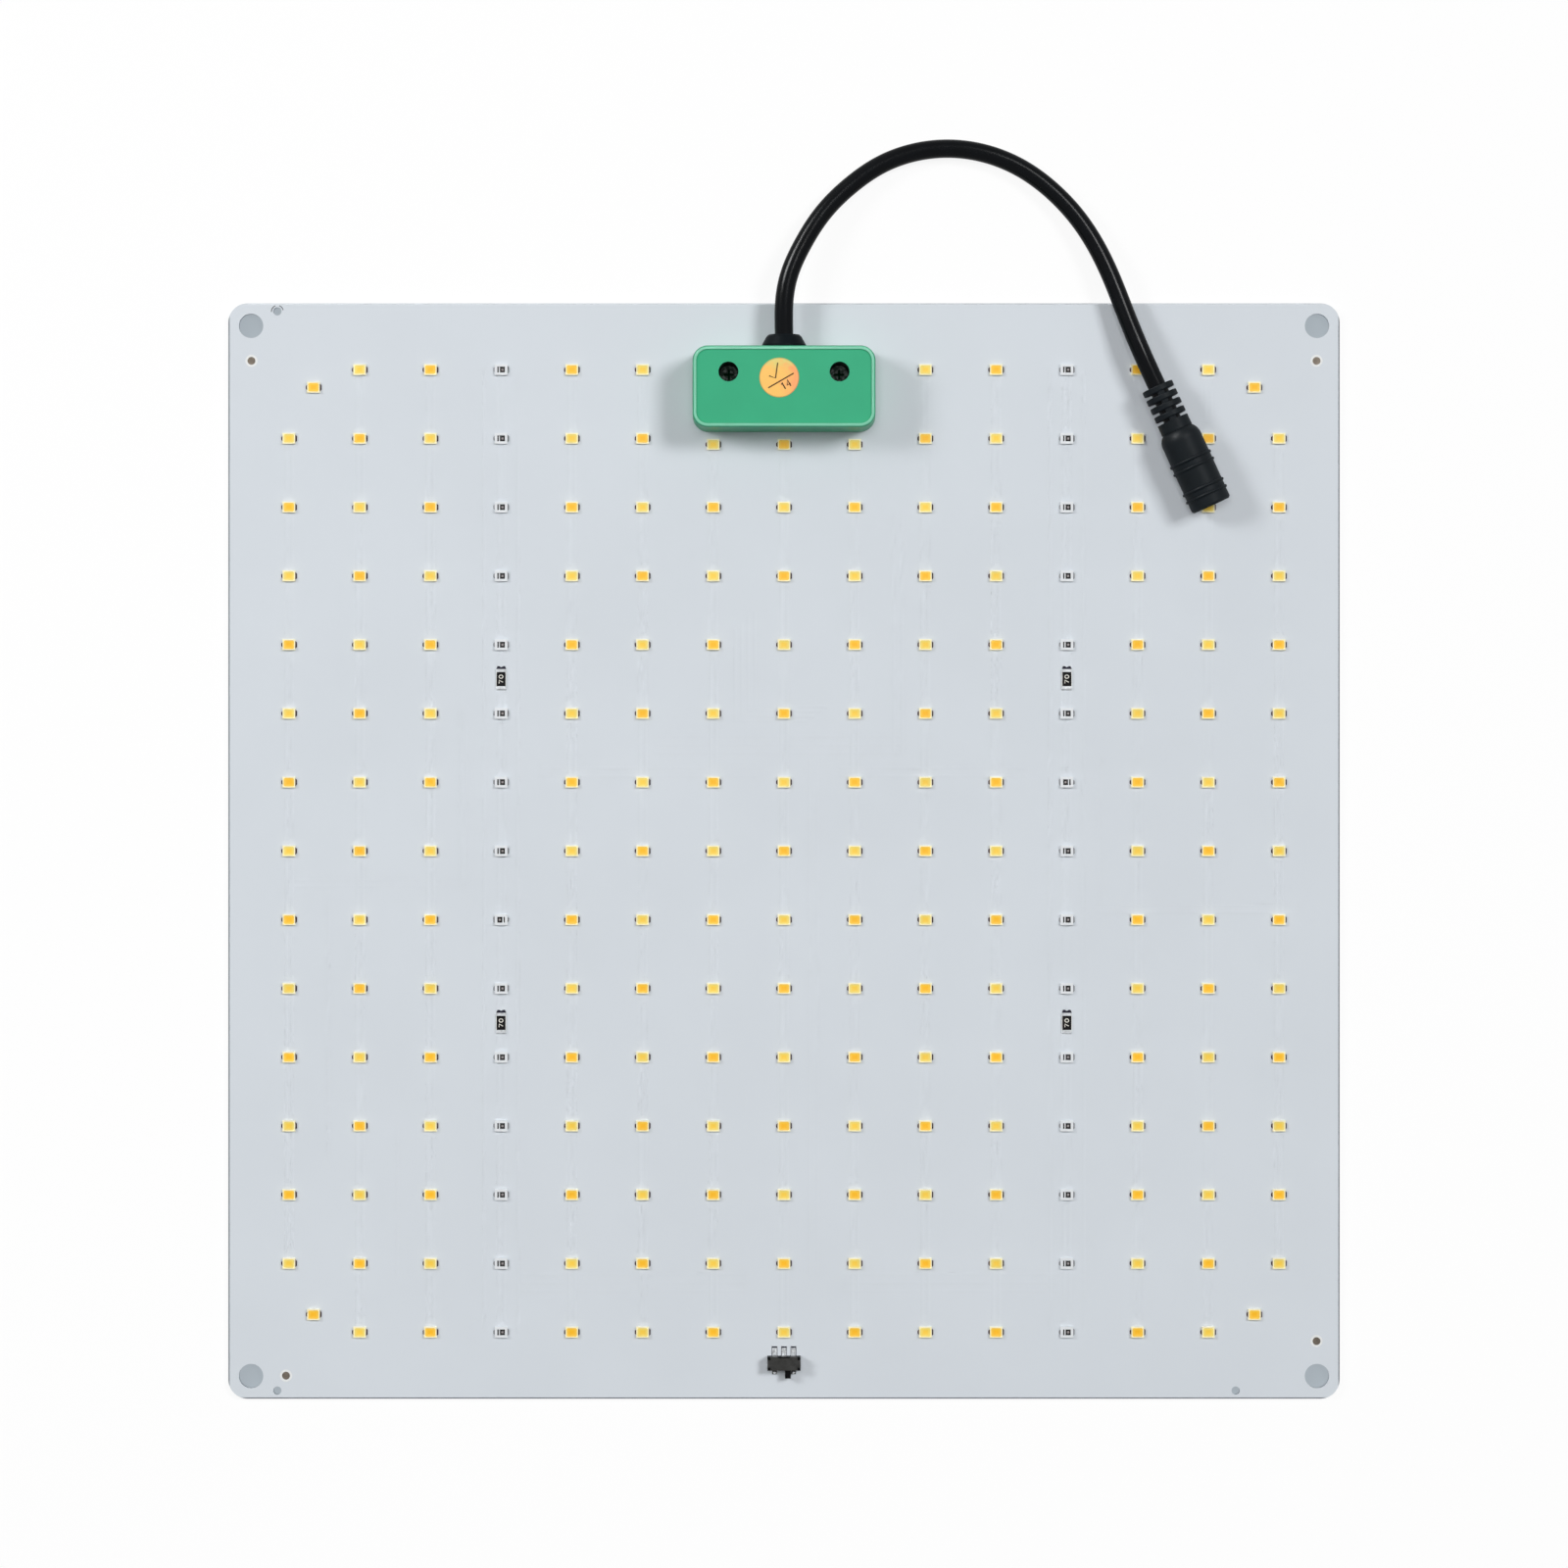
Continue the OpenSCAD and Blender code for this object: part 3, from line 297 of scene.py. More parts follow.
class GrowLightStage(bpy.types.PropertyGroup):
    """Camera and light."""

    camera_x: size("Camera X", "Camera's place to the right of the board's middle", 0)
    camera_y: size("Camera Y", "Camera's place from the board's middle towards the cable", 17.05)
    camera_z: size("Camera height", "Camera's height above the surface", 1201.5)
    lens: FloatProperty(name="Lens", description="Focal length on a 36 mm sensor", default=108.2,
                        subtype="DISTANCE_CAMERA")
    key_at: point("Key lamp", "Middle of the lamp on the right", 2.72, 1.48, 4.0)
    key_power: power("Key power", "Power of the lamp on the right", 124)
    key_size: size("Key size", "Width of the lamp on the right", 1300)
    fill_at: point("Fill lamp", "Middle of the lamp on the left", -1.31, 0.59, 1.31)
    fill_power: power("Fill power", "Power of the lamp on the left", 12.8)
    fill_size: size("Fill size", "Width of the lamp on the left", 500)
    top_at: point("Top lamp", "Middle of the lamp overhead", -0.06, 0.22, 2.0)
    top_power: power("Top power", "Power of the lamp overhead", 13.2)
    top_size: size("Top size", "Width of the lamp overhead", 600)
    right_card_at: point("Right card", "Middle of the bright card on the right", 0.765, 0.97, 1.7)
    right_card_power: power("Right card power", "Power of the card on the right", 26)
    left_card_at: point("Left card", "Middle of the bright card on the left", -0.93, 0.96, 0.86)
    left_card_power: power("Left card power", "Power of the card on the left", 39)
    card_size: size("Card size", "Width of both cards", 480)
    ambient: FloatProperty(name="Ambient", description="Strength of light from all round", default=0.06)
    floor_w: size("Floor width", "Width of the square floor", 6000)
    floor_drop: size("Floor drop", "How far the floor lies below the board's back", 0.3)
    # The greyer floor under the board is a painted shadow
    sheet_r: size("Sheet corner", "Corner radius of the greyer floor under the board", 6)
    sheet_in: size("Sheet inset", "How far the greyer floor ends inside the board's edge", 0.3)
    floor_glow: FloatProperty(name="Floor glow", description="Share of plain white in the floor as seen",
                              default=0.88, subtype="FACTOR")


def node(tree, kind, inputs=None, **settings):
    """A shader node with its settings, and with each input either linked or set."""
    made = tree.nodes.new(kind)
    for key, value in settings.items():
        setattr(made, key, value)
    for key, value in (inputs or {}).items():
        plug(tree, made.inputs[key], value)
    return made


def plug(tree, socket, value):
    """Links a socket to an output, or sets its value; a colour of three numbers is made opaque."""
    if isinstance(value, bpy.types.NodeSocket):
        tree.links.new(value, socket)
    elif hasattr(value, "__len__") and len(value) == 3 and socket.type == "RGBA":
        socket.default_value = (*value, 1)
    else:
        socket.default_value = value


def math_node(tree, operation, first, second=0.0):
    """One step of arithmetic on two values."""
    return node(tree, "ShaderNodeMath", {0: first, 1: second}, operation=operation).outputs[0]


def mixed(tree, factor, first, second, blend="MIX"):
    """First colour where the factor is 0 and second where it is 1."""
    inputs = {0: factor, 6: first, 7: second}
    return node(tree, "ShaderNodeMix", inputs, data_type="RGBA", blend_type=blend).outputs[2]


def spread(tree, factor, low, high, start=NOISE_LOW, end=NOISE_HIGH):
    """Low to high as the factor goes from start to end."""
    inputs = {"Value": factor, "From Min": start, "From Max": end, "To Min": low, "To Max": high}
    return node(tree, "ShaderNodeMapRange", inputs).outputs[0]


def ramp(tree, factor, *stops):
    """Colours at given places along a factor."""
    made = node(tree, "ShaderNodeValToRGB", {0: factor})
    elements = made.color_ramp.elements
    for k, (position, shade) in enumerate(stops):
        element = elements[k] if k < len(elements) else elements.new(position)
        element.position = position
        element.color = (*shade, 1)
    return made.outputs[0]


def noise(tree, place, scale, detail=3.0):
    """Cloudy noise on a place."""
    inputs = {"Vector": place, "Scale": scale, "Detail": detail}
    return node(tree, "ShaderNodeTexNoise", inputs).outputs[0]


def object_place(tree):
    """Place in the board's own frame, in metres."""
    return node(tree, "ShaderNodeTexCoord").outputs["Object"]


def stretched(tree, place, scale):
    """A place scaled along each axis, which draws a pattern out into streaks."""
    return node(tree, "ShaderNodeMapping", {"Vector": place, "Scale": scale}).outputs[0]


def moved(tree, origin):
    """Place in the board's own frame, from another origin."""
    inputs = {0: object_place(tree), 1: origin}
    return node(tree, "ShaderNodeVectorMath", inputs, operation="SUBTRACT").outputs[0]


def axes_of(tree, vector):
    """X, Y and Z of a vector."""
    return node(tree, "ShaderNodeSeparateXYZ", {0: vector}).outputs


def distance(tree, x, y):
    """How far a place lies from the origin, seen from above."""
    flat = node(tree, "ShaderNodeCombineXYZ", {0: x, 1: y}).outputs[0]
    return node(tree, "ShaderNodeVectorMath", {0: flat}, operation="LENGTH").outputs["Value"]


def beyond(tree, place, half_x, half_y):
    """How far a place lies beyond a rectangle round the origin, seen from above: zero inside it."""
    axis = axes_of(tree, place)
    past_x = math_node(tree, "SUBTRACT", math_node(tree, "ABSOLUTE", axis[0]), half_x)
    past_y = math_node(tree, "SUBTRACT", math_node(tree, "ABSOLUTE", axis[1]), half_y)
    out_x, out_y = (math_node(tree, "MAXIMUM", past, 0.0) for past in (past_x, past_y))
    return distance(tree, out_x, out_y)


def new_material(name, **sockets):
    """A material with its tree and shader; sockets with one value all over are set on the shader."""
    material = bpy.data.materials.new(name)
    material.use_nodes = True
    shader = material.node_tree.nodes["Principled BSDF"]
    for key, value in sockets.items():
        plug(material.node_tree, shader.inputs[key.replace("_", " ")], value)
    return material, material.node_tree, shader


def shades(base, drift):
    """A colour a little darker and a little lighter than the base."""
    return [tuple(min(1, c * k) for c in base) for k in (1 - drift, 1 + drift)]


def drifting(tree, factor, base, drift):
    """A colour that drifts about its base as a noise does."""
    dark, light = shades(base, drift)
    return ramp(tree, factor, (NOISE_LOW, dark), (NOISE_HIGH, light))


def raise_grain(tree, shader, grain, strength, depth):
    """Bumps a surface by a grain, to a depth in millimetres."""
    inputs = {"Height": grain, "Strength": strength, "Distance": depth * MM}
    plug(tree, shader.inputs["Normal"], node(tree, "ShaderNodeBump", inputs).outputs[0])


def finish(name, base, rough, drift=0.06, cloud=300.0, grain=3000.0, bump=0.01, **sockets):
    """Base colour that drifts with coarse noise, roughness that follows fine noise, and a fine bump."""
    material, tree, shader = new_material(name, **sockets)
    place = object_place(tree)
    fine = noise(tree, place, grain)
    plug(tree, shader.inputs["Base Color"], drifting(tree, noise(tree, place, cloud), base, drift))
    plug(tree, shader.inputs["Roughness"], spread(tree, fine, rough - ROUGH_SWING, rough + ROUGH_SWING))
    raise_grain(tree, shader, fine, GRAIN_STRENGTH, bump)
    return material


def metal(name, base, rough, drift=0.12, **settings):
    """A metal finish with a faint grain."""
    return finish(name, base, rough, drift=drift, Metallic=1.0, **settings)


def plastic(name, base, rough, shine=0.25, **settings):
    """A moulded finish with a satin grain."""
    return finish(name, base, rough, Specular_IOR_Level=shine, **settings)


def sizes_and_colours(context):
    """Sizes and colours as they are set on the scene."""
    return context.scene.grow_light_sizes, context.scene.grow_light_colours


def dress(material, *names):
    """Gives CAD nodes a finish."""
    for name in names:
        NODES[name].data.materials.clear()
        NODES[name].data.materials.append(material)


def grid_faces(rows, cols, wrap):
    """Quads between neighbouring points of a grid; with wrap, the last column joins the first."""
    row = np.arange(rows - 1)[:, None]
    col = np.arange(cols if wrap else cols - 1)[None, :]
    after = (col + 1) % cols
    corners = (row * cols + col, row * cols + after, (row + 1) * cols + after, (row + 1) * cols + col)
    return np.stack(corners, axis=-1).reshape(-1, 4)


def add_piece(name, grids, material, uvs=None, wrap=True, sharp=35):
    """One mesh of several grids of points, each of rows by columns, with seams and poles merged."""
    starts = np.cumsum([0] + [g.shape[0] * g.shape[1] for g in grids])
    faces = np.concatenate([grid_faces(g.shape[0], g.shape[1], wrap) + s for g, s in zip(grids, starts)])
    mesh = bpy.data.meshes.new(name)
    mesh.from_pydata(np.concatenate([g.reshape(-1, 3) for g in grids]).tolist(), [], faces.tolist())
    if uvs is not None:
        flat = np.concatenate([u.reshape(-1, 2) for u in uvs])
        layer = mesh.uv_layers.new(name="UVMap")
        layer.data.foreach_set("uv", flat[faces.ravel()].astype(np.float32).ravel())
    shell = bmesh.new()
    shell.from_mesh(mesh)
    bmesh.ops.remove_doubles(shell, verts=shell.verts, dist=10**-SAME_DECIMALS)
    bmesh.ops.recalc_face_normals(shell, faces=shell.faces)
    shell.to_mesh(mesh)
    shell.free()
    mesh.shade_smooth()
    mesh.set_sharp_from_angle(angle=math.radians(sharp))
    mesh.materials.append(material)
    piece = bpy.data.objects.new(name, mesh)
    bpy.context.scene.collection.objects.link(piece)
    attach(piece, "board")
    return piece


def unit(vectors):
    """Vectors of length one."""
    return vectors / np.linalg.norm(vectors, axis=-1, keepdims=True)


def carried(profile, path):
    """A profile carried along a path: at each point it lies across the path's heading, its first
    coordinate to the side and its second upwards, and both ends close on the path."""
    heading = unit(np.gradient(path, axis=0))
    side = unit(np.cross(heading, UP))
    top = np.cross(side, heading)
    rings = path[:, None] + profile[None, :, :1] * side[:, None] + profile[None, :, 1:] * top[:, None]
    first, last = (np.broadcast_to(rings[k].mean(0), (1, *rings[k].shape)) for k in (0, -1))
    return np.concatenate([first, rings, last])


def stacked(outline, levels):
    """An outline at several levels: each level scales it by a share and lifts it to a height."""
    share, height = np.array(levels).T
    flat = share[:, None, None] * outline[None]
    return np.concatenate([flat, np.broadcast_to(height[:, None, None], (*flat.shape[:2], 1))], axis=2)


def rectangle(half_x, half_y):
    """Corners of a rectangle round the origin, from its half sizes."""
    return np.array(((half_x, -half_y), (half_x, half_y), (-half_x, half_y), (-half_x, -half_y)))


def oval(half_x, half_y, count=20):
    """Points round an ellipse: half sizes times the cosine and sine of an even turn."""
    turn = np.linspace(0, math.tau, count, endpoint=False)
    return np.stack([half_x * np.cos(turn), half_y * np.sin(turn)], axis=1)


def smooth_path(points, count):
    """A cubic spline through points whose slopes keep its bend continuous, with its ends along the
    first and last chords, at evenly spread places."""
    chord = np.linalg.norm(np.diff(points, axis=0), axis=1)
    place = np.concatenate([[0], np.cumsum(chord)])
    step = np.diff(points, axis=0) / chord[:, None]
    before, after = chord[:-1, None], chord[1:, None]
    inner = np.arange(1, len(points) - 1)
    matrix = np.eye(len(points))
    matrix[inner, inner - 1] = after[:, 0]
    matrix[inner, inner] = 2 * (before + after)[:, 0]
    matrix[inner, inner + 1] = before[:, 0]
    wanted = np.concatenate([step[:1], 3 * (after * step[:-1] + before * step[1:]), step[-1:]])
    slope = np.linalg.solve(matrix, wanted)
    s = np.linspace(0, place[-1], count)
    k = np.clip(np.searchsorted(place, s, side="right") - 1, 0, len(chord) - 1)
    length = chord[k][:, None]
    u = (s - place[k])[:, None] / length
    start = (2 * u**3 - 3 * u**2 + 1) * points[k] + (u**3 - 2 * u**2 + u) * length * slope[k]
    return start + (3 * u**2 - 2 * u**3) * points[k + 1] + (u**3 - u**2) * length * slope[k + 1]


def vertices(name):
    """A CAD node's points."""
    flat = np.empty(len(NODES[name].data.vertices) * 3)
    NODES[name].data.vertices.foreach_get("co", flat)
    return flat.reshape(-1, 3)


def runs(values, gap):
    """Number of the run that each value is in: sorted neighbours further apart than gap part two runs."""
    order = np.argsort(values)
    number = np.empty(len(values), int)
    number[order] = np.concatenate([[0], np.cumsum(np.diff(values[order]) > gap)])
    return number


def solids(name):
    """Lowest and highest corners of each separate solid in a node: points in one place share a number,
    and every face spreads the lowest number at its corners, until nothing changes."""
    spots, number = np.unique(np.round(vertices(name), SAME_DECIMALS), axis=0, return_inverse=True)
    mesh = NODES[name].data
    mesh.calc_loop_triangles()
    corners = np.empty(3 * len(mesh.loop_triangles), np.int32)
    mesh.loop_triangles.foreach_get("vertices", corners)
    faces = number.ravel()[corners].reshape(-1, 3)
    label, before = np.arange(len(spots)), None
    while not np.array_equal(label, before):
        before = label.copy()
        np.minimum.at(label, faces, label[faces].min(axis=1, keepdims=True))
        label = label[label]
    which = np.unique(label, return_inverse=True)[1]
    low, high = np.full((2, which.max() + 1, 3), np.inf)
    np.minimum.at(low, which, spots)
    np.minimum.at(high, which, -spots)
    return np.stack([low, -high], axis=1)


def flat_ribbon(width, thick):
    """Section of a printed line."""
    return np.array(((-width / 2, 0), (width / 2, 0), (width / 2, thick), (-width / 2, thick)))


def stroke_marks(text, cell, pitch, origin, turn, width, thick):
    """Ribbons for a row of marks: each stroke of the cell is scaled, turned and set on its surface."""
    ribbon = flat_ribbon(width, thick)
    rotation = np.array(((math.cos(turn), -math.sin(turn)), (math.sin(turn), math.cos(turn))))
    made = []
    for k, mark in enumerate(text):
        lines = [np.array(line) for line in STROKES.get(mark, ())]
        if mark in OVALS:
            middle, halves = OVALS[mark]
            ring = np.array(middle) + oval(*halves)
            lines.append(np.concatenate([ring, ring[:1]]))
        for line in lines:
            flat = (line * cell + (k * pitch, 0)) @ rotation.T
            made.append(carried(ribbon, np.column_stack([flat, np.zeros(len(flat))]) + origin))
    return made


def area_lamp(name, at, width, watts, target, mirrored=False):
    """A square lamp that faces the target: it lights surfaces, or else it is only mirrored in them."""
    data = bpy.data.lights.new(name, "AREA")
    data.energy = watts
    data.size = width
    lamp = bpy.data.objects.new(name, data)
    lamp.location = at
    lamp.rotation_euler = (Vector(at) - target).to_track_quat("Z", "Y").to_euler()
    lamp.visible_glossy = mirrored
    lamp.visible_diffuse = not mirrored
    bpy.context.scene.collection.objects.link(lamp)


def seen_directly(tree):
    """One for rays from the camera, a mirror or glass, and zero for light that falls on the object."""
    path = node(tree, "ShaderNodeLightPath").outputs
    either = math_node(tree, "MAXIMUM", path["Is Camera Ray"], path["Is Glossy Ray"])
    return math_node(tree, "MAXIMUM", either, path["Is Transmission Ray"])


def white_world(ambient):
    """Surroundings that look white and light the object softly."""
    world = bpy.data.worlds.new("soft_surroundings")
    world.use_nodes = True
    tree = world.node_tree
    tree.nodes.clear()
    light = node(tree, "ShaderNodeBackground", {"Color": WHITE, "Strength": ambient})
    white = node(tree, "ShaderNodeBackground", {"Color": WHITE, "Strength": 1.0})
    inputs = {0: seen_directly(tree), 1: light.outputs[0], 2: white.outputs[0]}
    both = node(tree, "ShaderNodeMixShader", inputs)
    node(tree, "ShaderNodeOutputWorld", {"Surface": both.outputs[0]})
    bpy.context.scene.world = world


def floor_finish(stage, under):
    """White paper that keeps a faint shadow, and a greyer sheet of painted shadow where the board covers
    it.
    """
    material = bpy.data.materials.new("white_paper")
    material.use_nodes = True
    tree = material.node_tree
    tree.nodes.clear()
    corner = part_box("circuit_board")[1]
    r = stage.sheet_r
    out = beyond(tree, object_place(tree), corner.x - r, corner.y - r)
    # Painted shadow: a greyer sheet under the board, which also glows grey as seen
    painted_shadow_sheet = math_node(tree, "LESS_THAN", out, r - stage.sheet_in)
    shade = mixed(tree, painted_shadow_sheet, PAPER, tuple(under))
    paper = node(tree, "ShaderNodeBsdfDiffuse", {"Color": shade})
    painted_shadow_tint = mixed(tree, painted_shadow_sheet, WHITE, tuple(under))
    glow = node(tree, "ShaderNodeEmission", {"Color": painted_shadow_tint, "Strength": 1.0})
    share = math_node(tree, "MULTIPLY", seen_directly(tree), stage.floor_glow)
    both = node(tree, "ShaderNodeMixShader", {0: share, 1: paper.outputs[0], 2: glow.outputs[0]})
    node(tree, "ShaderNodeOutputMaterial", {"Surface": both.outputs[0]})
    return material


class GROWLIGHT_OT_stage(bpy.types.Operator):
    """Set the camera, the floor, the lamps and the white surroundings"""

    bl_idname = "grow_light.stage"
    bl_label = "Stage"

    def execute(self, context):
        stage = context.scene.grow_light_stage
        scene = context.scene
        scene.view_settings.view_transform = "Standard"
        camera = bpy.data.objects.new("camera", bpy.data.cameras.new("camera"))
        camera.data.lens = stage.lens
        camera.location = (stage.camera_x, stage.camera_y, stage.camera_z)
        scene.collection.objects.link(camera)
        scene.camera = camera
        target = Vector((0, 0, BOARD_TOP))
        area_lamp("key_lamp", stage.key_at, stage.key_size, stage.key_power, target)
        area_lamp("fill_lamp", stage.fill_at, stage.fill_size, stage.fill_power, target)
        area_lamp("top_lamp", stage.top_at, stage.top_size, stage.top_power, target)
        cards = (
            ("right_card", stage.right_card_at, stage.right_card_power),
            ("left_card", stage.left_card_at, stage.left_card_power),
        )
        for name, at, watts in cards:
            area_lamp(name, at, stage.card_size, watts, target, mirrored=True)
        white_world(stage.ambient)
        half = stage.floor_w / 2
        mesh = bpy.data.meshes.new("floor")
        corners = [(x, y, -stage.floor_drop) for x, y in rectangle(half, half).tolist()]
        mesh.from_pydata(corners, [], [(0, 1, 2, 3)])
        mesh.materials.append(floor_finish(stage, scene.grow_light_colours.under))
        floor = bpy.data.objects.new("floor", mesh)
        scene.collection.objects.link(floor)
        return {"FINISHED"}


def jacket_finish(base):
    """Smooth cable jacket with a soft gloss and faint streaks along its length, on its own UV map."""
    material, tree, shader = new_material("cable_jacket", Specular_IOR_Level=0.08)
    drawn = node(tree, "ShaderNodeTexCoord").outputs["UV"]
    streak = noise(tree, stretched(tree, drawn, (10, 24, 1)), 1.0)
    plug(tree, shader.inputs["Base Color"], drifting(tree, streak, base, 0.25))
    plug(tree, shader.inputs["Roughness"], spread(tree, streak, 0.2, 0.26))
    raise_grain(tree, shader, streak, 0.1, 0.01)
    return material


class GROWLIGHT_OT_power_cable(bpy.types.Operator):
    """Lay the power cable from the gland to the inside of the socket's strain relief"""

    bl_idname = "grow_light.power_cable"
    bl_label = "Power cable"

    def execute(self, context):
        sizes, colours = sizes_and_colours(context)
        leave = np.array((0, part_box("cable_gland")[1].y, 0))
        route = np.array(CABLE_ROUTE) * MM + leave
        inner = route[-1] + sizes.cable_inside * unit(route[-1] - route[-2])
        path = smooth_path(np.concatenate([route, inner[None]]), CABLE_STEPS)
        turn = np.linspace(0, math.tau, CABLE_FLATS + 1)
        circle = sizes.cable_d / 2 * np.stack([np.cos(turn), np.sin(turn)], axis=1)
        tube = carried(circle, path)
        around = np.broadcast_to(turn[None, :] / math.tau, tube.shape[:2])
        along = np.broadcast_to(np.linspace(0, 1, len(tube))[:, None], tube.shape[:2])
        drawn = np.stack([around, along], axis=2)
        jacket = jacket_finish(colours.jacket)
        cable = add_piece("cable_jacket", [tube], jacket, uvs=[drawn], wrap=False)
        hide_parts("power_cable")
        return {"FINISHED"}


def board_finish(colours):
    """White mask on the LED face, slopes at its cuts in painted shade and, along the far edge, in painted
    light, and brushed aluminium everywhere else.
    """
    material, tree, shader = new_material("board_mask", Specular_IOR_Level=0.15)
    place = object_place(tree)
    normal = axes_of(tree, node(tree, "ShaderNodeNewGeometry").outputs["Normal"])
    masked = math_node(tree, "GREATER_THAN", normal[2], FLAT_NORMAL)
    sloped = math_node(tree, "GREATER_THAN", normal[2], SLOPED_NORMAL)
    far = math_node(tree, "GREATER_THAN", normal[1], SLOPED_NORMAL)
    dark, light = shades(colours.mask, 0.012)
    mask = ramp(tree, noise(tree, place, 24.0, 6.0), (0.35, dark), (0.65, light))
    brushed = noise(tree, stretched(tree, place, (3000, 60, 3000)), 1.0)
    bare = drifting(tree, brushed, colours.aluminium, 0.12)
    # Painted light on slopes that face the far edge, towards the lamps, and painted shade on the rest
    slope = mixed(tree, far, tuple(colours.cut), tuple(colours.cut_painted_light))
    plug(tree, shader.inputs["Base Color"], mixed(tree, masked, mixed(tree, sloped, bare, slope), mask))
    plug(tree, shader.inputs["Metallic"], math_node(tree, "SUBTRACT", 1.0, masked))
    duller = math_node(tree, "MULTIPLY", masked, 0.26)
    rough = math_node(tree, "ADD", duller, spread(tree, brushed, 0.38, 0.5))
    plug(tree, shader.inputs["Roughness"], rough)
    raise_grain(tree, shader, noise(tree, place, 2600.0), 0.3, 0.004)
    return material


def column_runs(sizes):
    """Pairs of runs between the packages that follow each other in a column; wide gaps stay open."""
    packages = np.concatenate([solids(n) for n in ("white_led_housings", "red_led_housings")]).mean(1)
    column = runs(packages[:, 0], MM)
    lines = []
    for c in range(column.max() + 1):
        x, rows = packages[column == c, 0].mean(), np.sort(packages[column == c, 1])
        ends = zip(rows[:-1] + sizes.row_gap, rows[1:] - sizes.row_gap)
        close = [(low, high) for low, high in ends if high - low < 2 * np.median(np.diff(rows))]
        for side in (-0.5, 0.5):
            at = x + side * sizes.pair_step
            lines += [((at, low), (at, high)) for low, high in close if len(rows) > 2]
    return lines


def flank_runs(sizes):
    """Runs on both sides of each red column, from its first package to its last."""
    red = solids("red_led_housings").mean(1)
    column = runs(red[:, 0], MM)
    middles = [red[column == c, 0].mean() for c in range(column.max() + 1)]
    sides = [x + side * sizes.flank_step for x in middles for side in (-1, 1)]
    return [((x, red[:, 1].min()), (x, red[:, 1].max())) for x in sides]


def bus_runs(sizes):
    """Groups of runs that join the strings, each run repeated side by side."""
    groups = []
    for count, points in TRACK_RUNS:
        first = np.array(points) * MM
        heading = unit(first[-1] - first[0])
        aside = np.array((-heading[1], heading[0])) * sizes.run_step
        groups.append([first + k * aside for k in range(count)])
    return groups


def coated_runs(sizes):
    """Flat-topped ridges along all the copper runs, each kind of run at its own height."""
    half = sizes.track_w / 2
    foot = half + sizes.track_edge
    made = []
    levels = [(column_runs(sizes), COLUMN_SHARE), (flank_runs(sizes), FLANK_SHARE)]
    levels += [(group, BUS_SHARES[k % 2]) for k, group in enumerate(bus_runs(sizes))]
    for lines, share in levels:
        top = share * sizes.track_h
        section = np.array(((-foot, 0), (foot, 0), (half, top), (-half, top)))
        for line in lines:
            path = np.column_stack([np.array(line), np.full(len(line), BOARD_TOP)])
            made.append(carried(section, path))
    return made


def dot_clearings(sizes):
    """A flat disc round each alignment dot."""
    dots = solids("alignment_dots").mean(1) * (1, 1, 0) + (0, 0, BOARD_TOP)
    levels = ((0, 0), (1, 0), (1, sizes.halo_t), (0, sizes.halo_t))
    disc = stacked(oval(0.5, 0.5, count=40) * sizes.halo_d, levels)
    return [disc + dot for dot in dots]


def hole_arcs(sizes):
    """Ribbons along arcs round a tooling hole: middle plus radius times a turn's cosine and sine."""
    hole = np.array((*HOLE_MIDDLE, 0)) * MM + (0, 0, BOARD_TOP)
    turns = np.radians([np.linspace(*ends, ARC_POINTS) for ends in HOLE_ARCS])
    arcs = hole + HOLE_MARK_R * MM * np.stack([np.cos(turns), np.sin(turns), 0 * turns], axis=2)
    line = flat_ribbon(sizes.hole_line, sizes.mark_t)
    return [carried(line, arc) for arc in arcs]


class GROWLIGHT_OT_circuit_board(bpy.types.Operator):
    """Coat the board and lay its copper runs, alignment dots and hole mark"""

    bl_idname = "grow_light.circuit_board"
    bl_label = "Circuit board"

    def execute(self, context):
        sizes, colours = sizes_and_colours(context)
        coat = board_finish(colours)
        dress(coat, "circuit_board")
        add_piece("copper_runs", coated_runs(sizes), coat)
        dress(metal("bare_copper", colours.copper, 0.5, drift=0.25, cloud=900), "alignment_dots")
        bare = plastic("bare_laminate", colours.laminate, 0.5, drift=0.04, cloud=1500)
        add_piece("dot_clearings", dot_clearings(sizes), bare)
        add_piece("hole_mark", hole_arcs(sizes), plastic("pressed_mark", colours.mark, 0.5))
        return {"FINISHED"}


def gel_finish(name, core, edge):
    """Phosphor in clear gel: deepest in the middle of each package and paler at its edge, and no two
    packages quite alike, on the piece's own UV map, which holds the share of the way out and a chance."""
    material, tree, shader = new_material(name, Specular_IOR_Level=0.35)
    out, chance = axes_of(tree, node(tree, "ShaderNodeTexCoord").outputs["UV"])[:2]
    grains = noise(tree, object_place(tree), 9000.0, 2.0)
    spot = math_node(tree, "ADD", out, spread(tree, grains, -0.12, 0.12))
    between = [(a + b) / 2 for a, b in zip(core, edge)]
    body = ramp(tree, spot, (0.35, core), (0.7, between), (1.0, edge))
    lot = ramp(tree, chance, (0.0, DIMMEST), (1.0, WHITE))
    plug(tree, shader.inputs["Base Color"], mixed(tree, 1.0, body, lot, "MULTIPLY"))
    plug(tree, shader.inputs["Roughness"], spread(tree, grains, 0.28, 0.4))
    return material


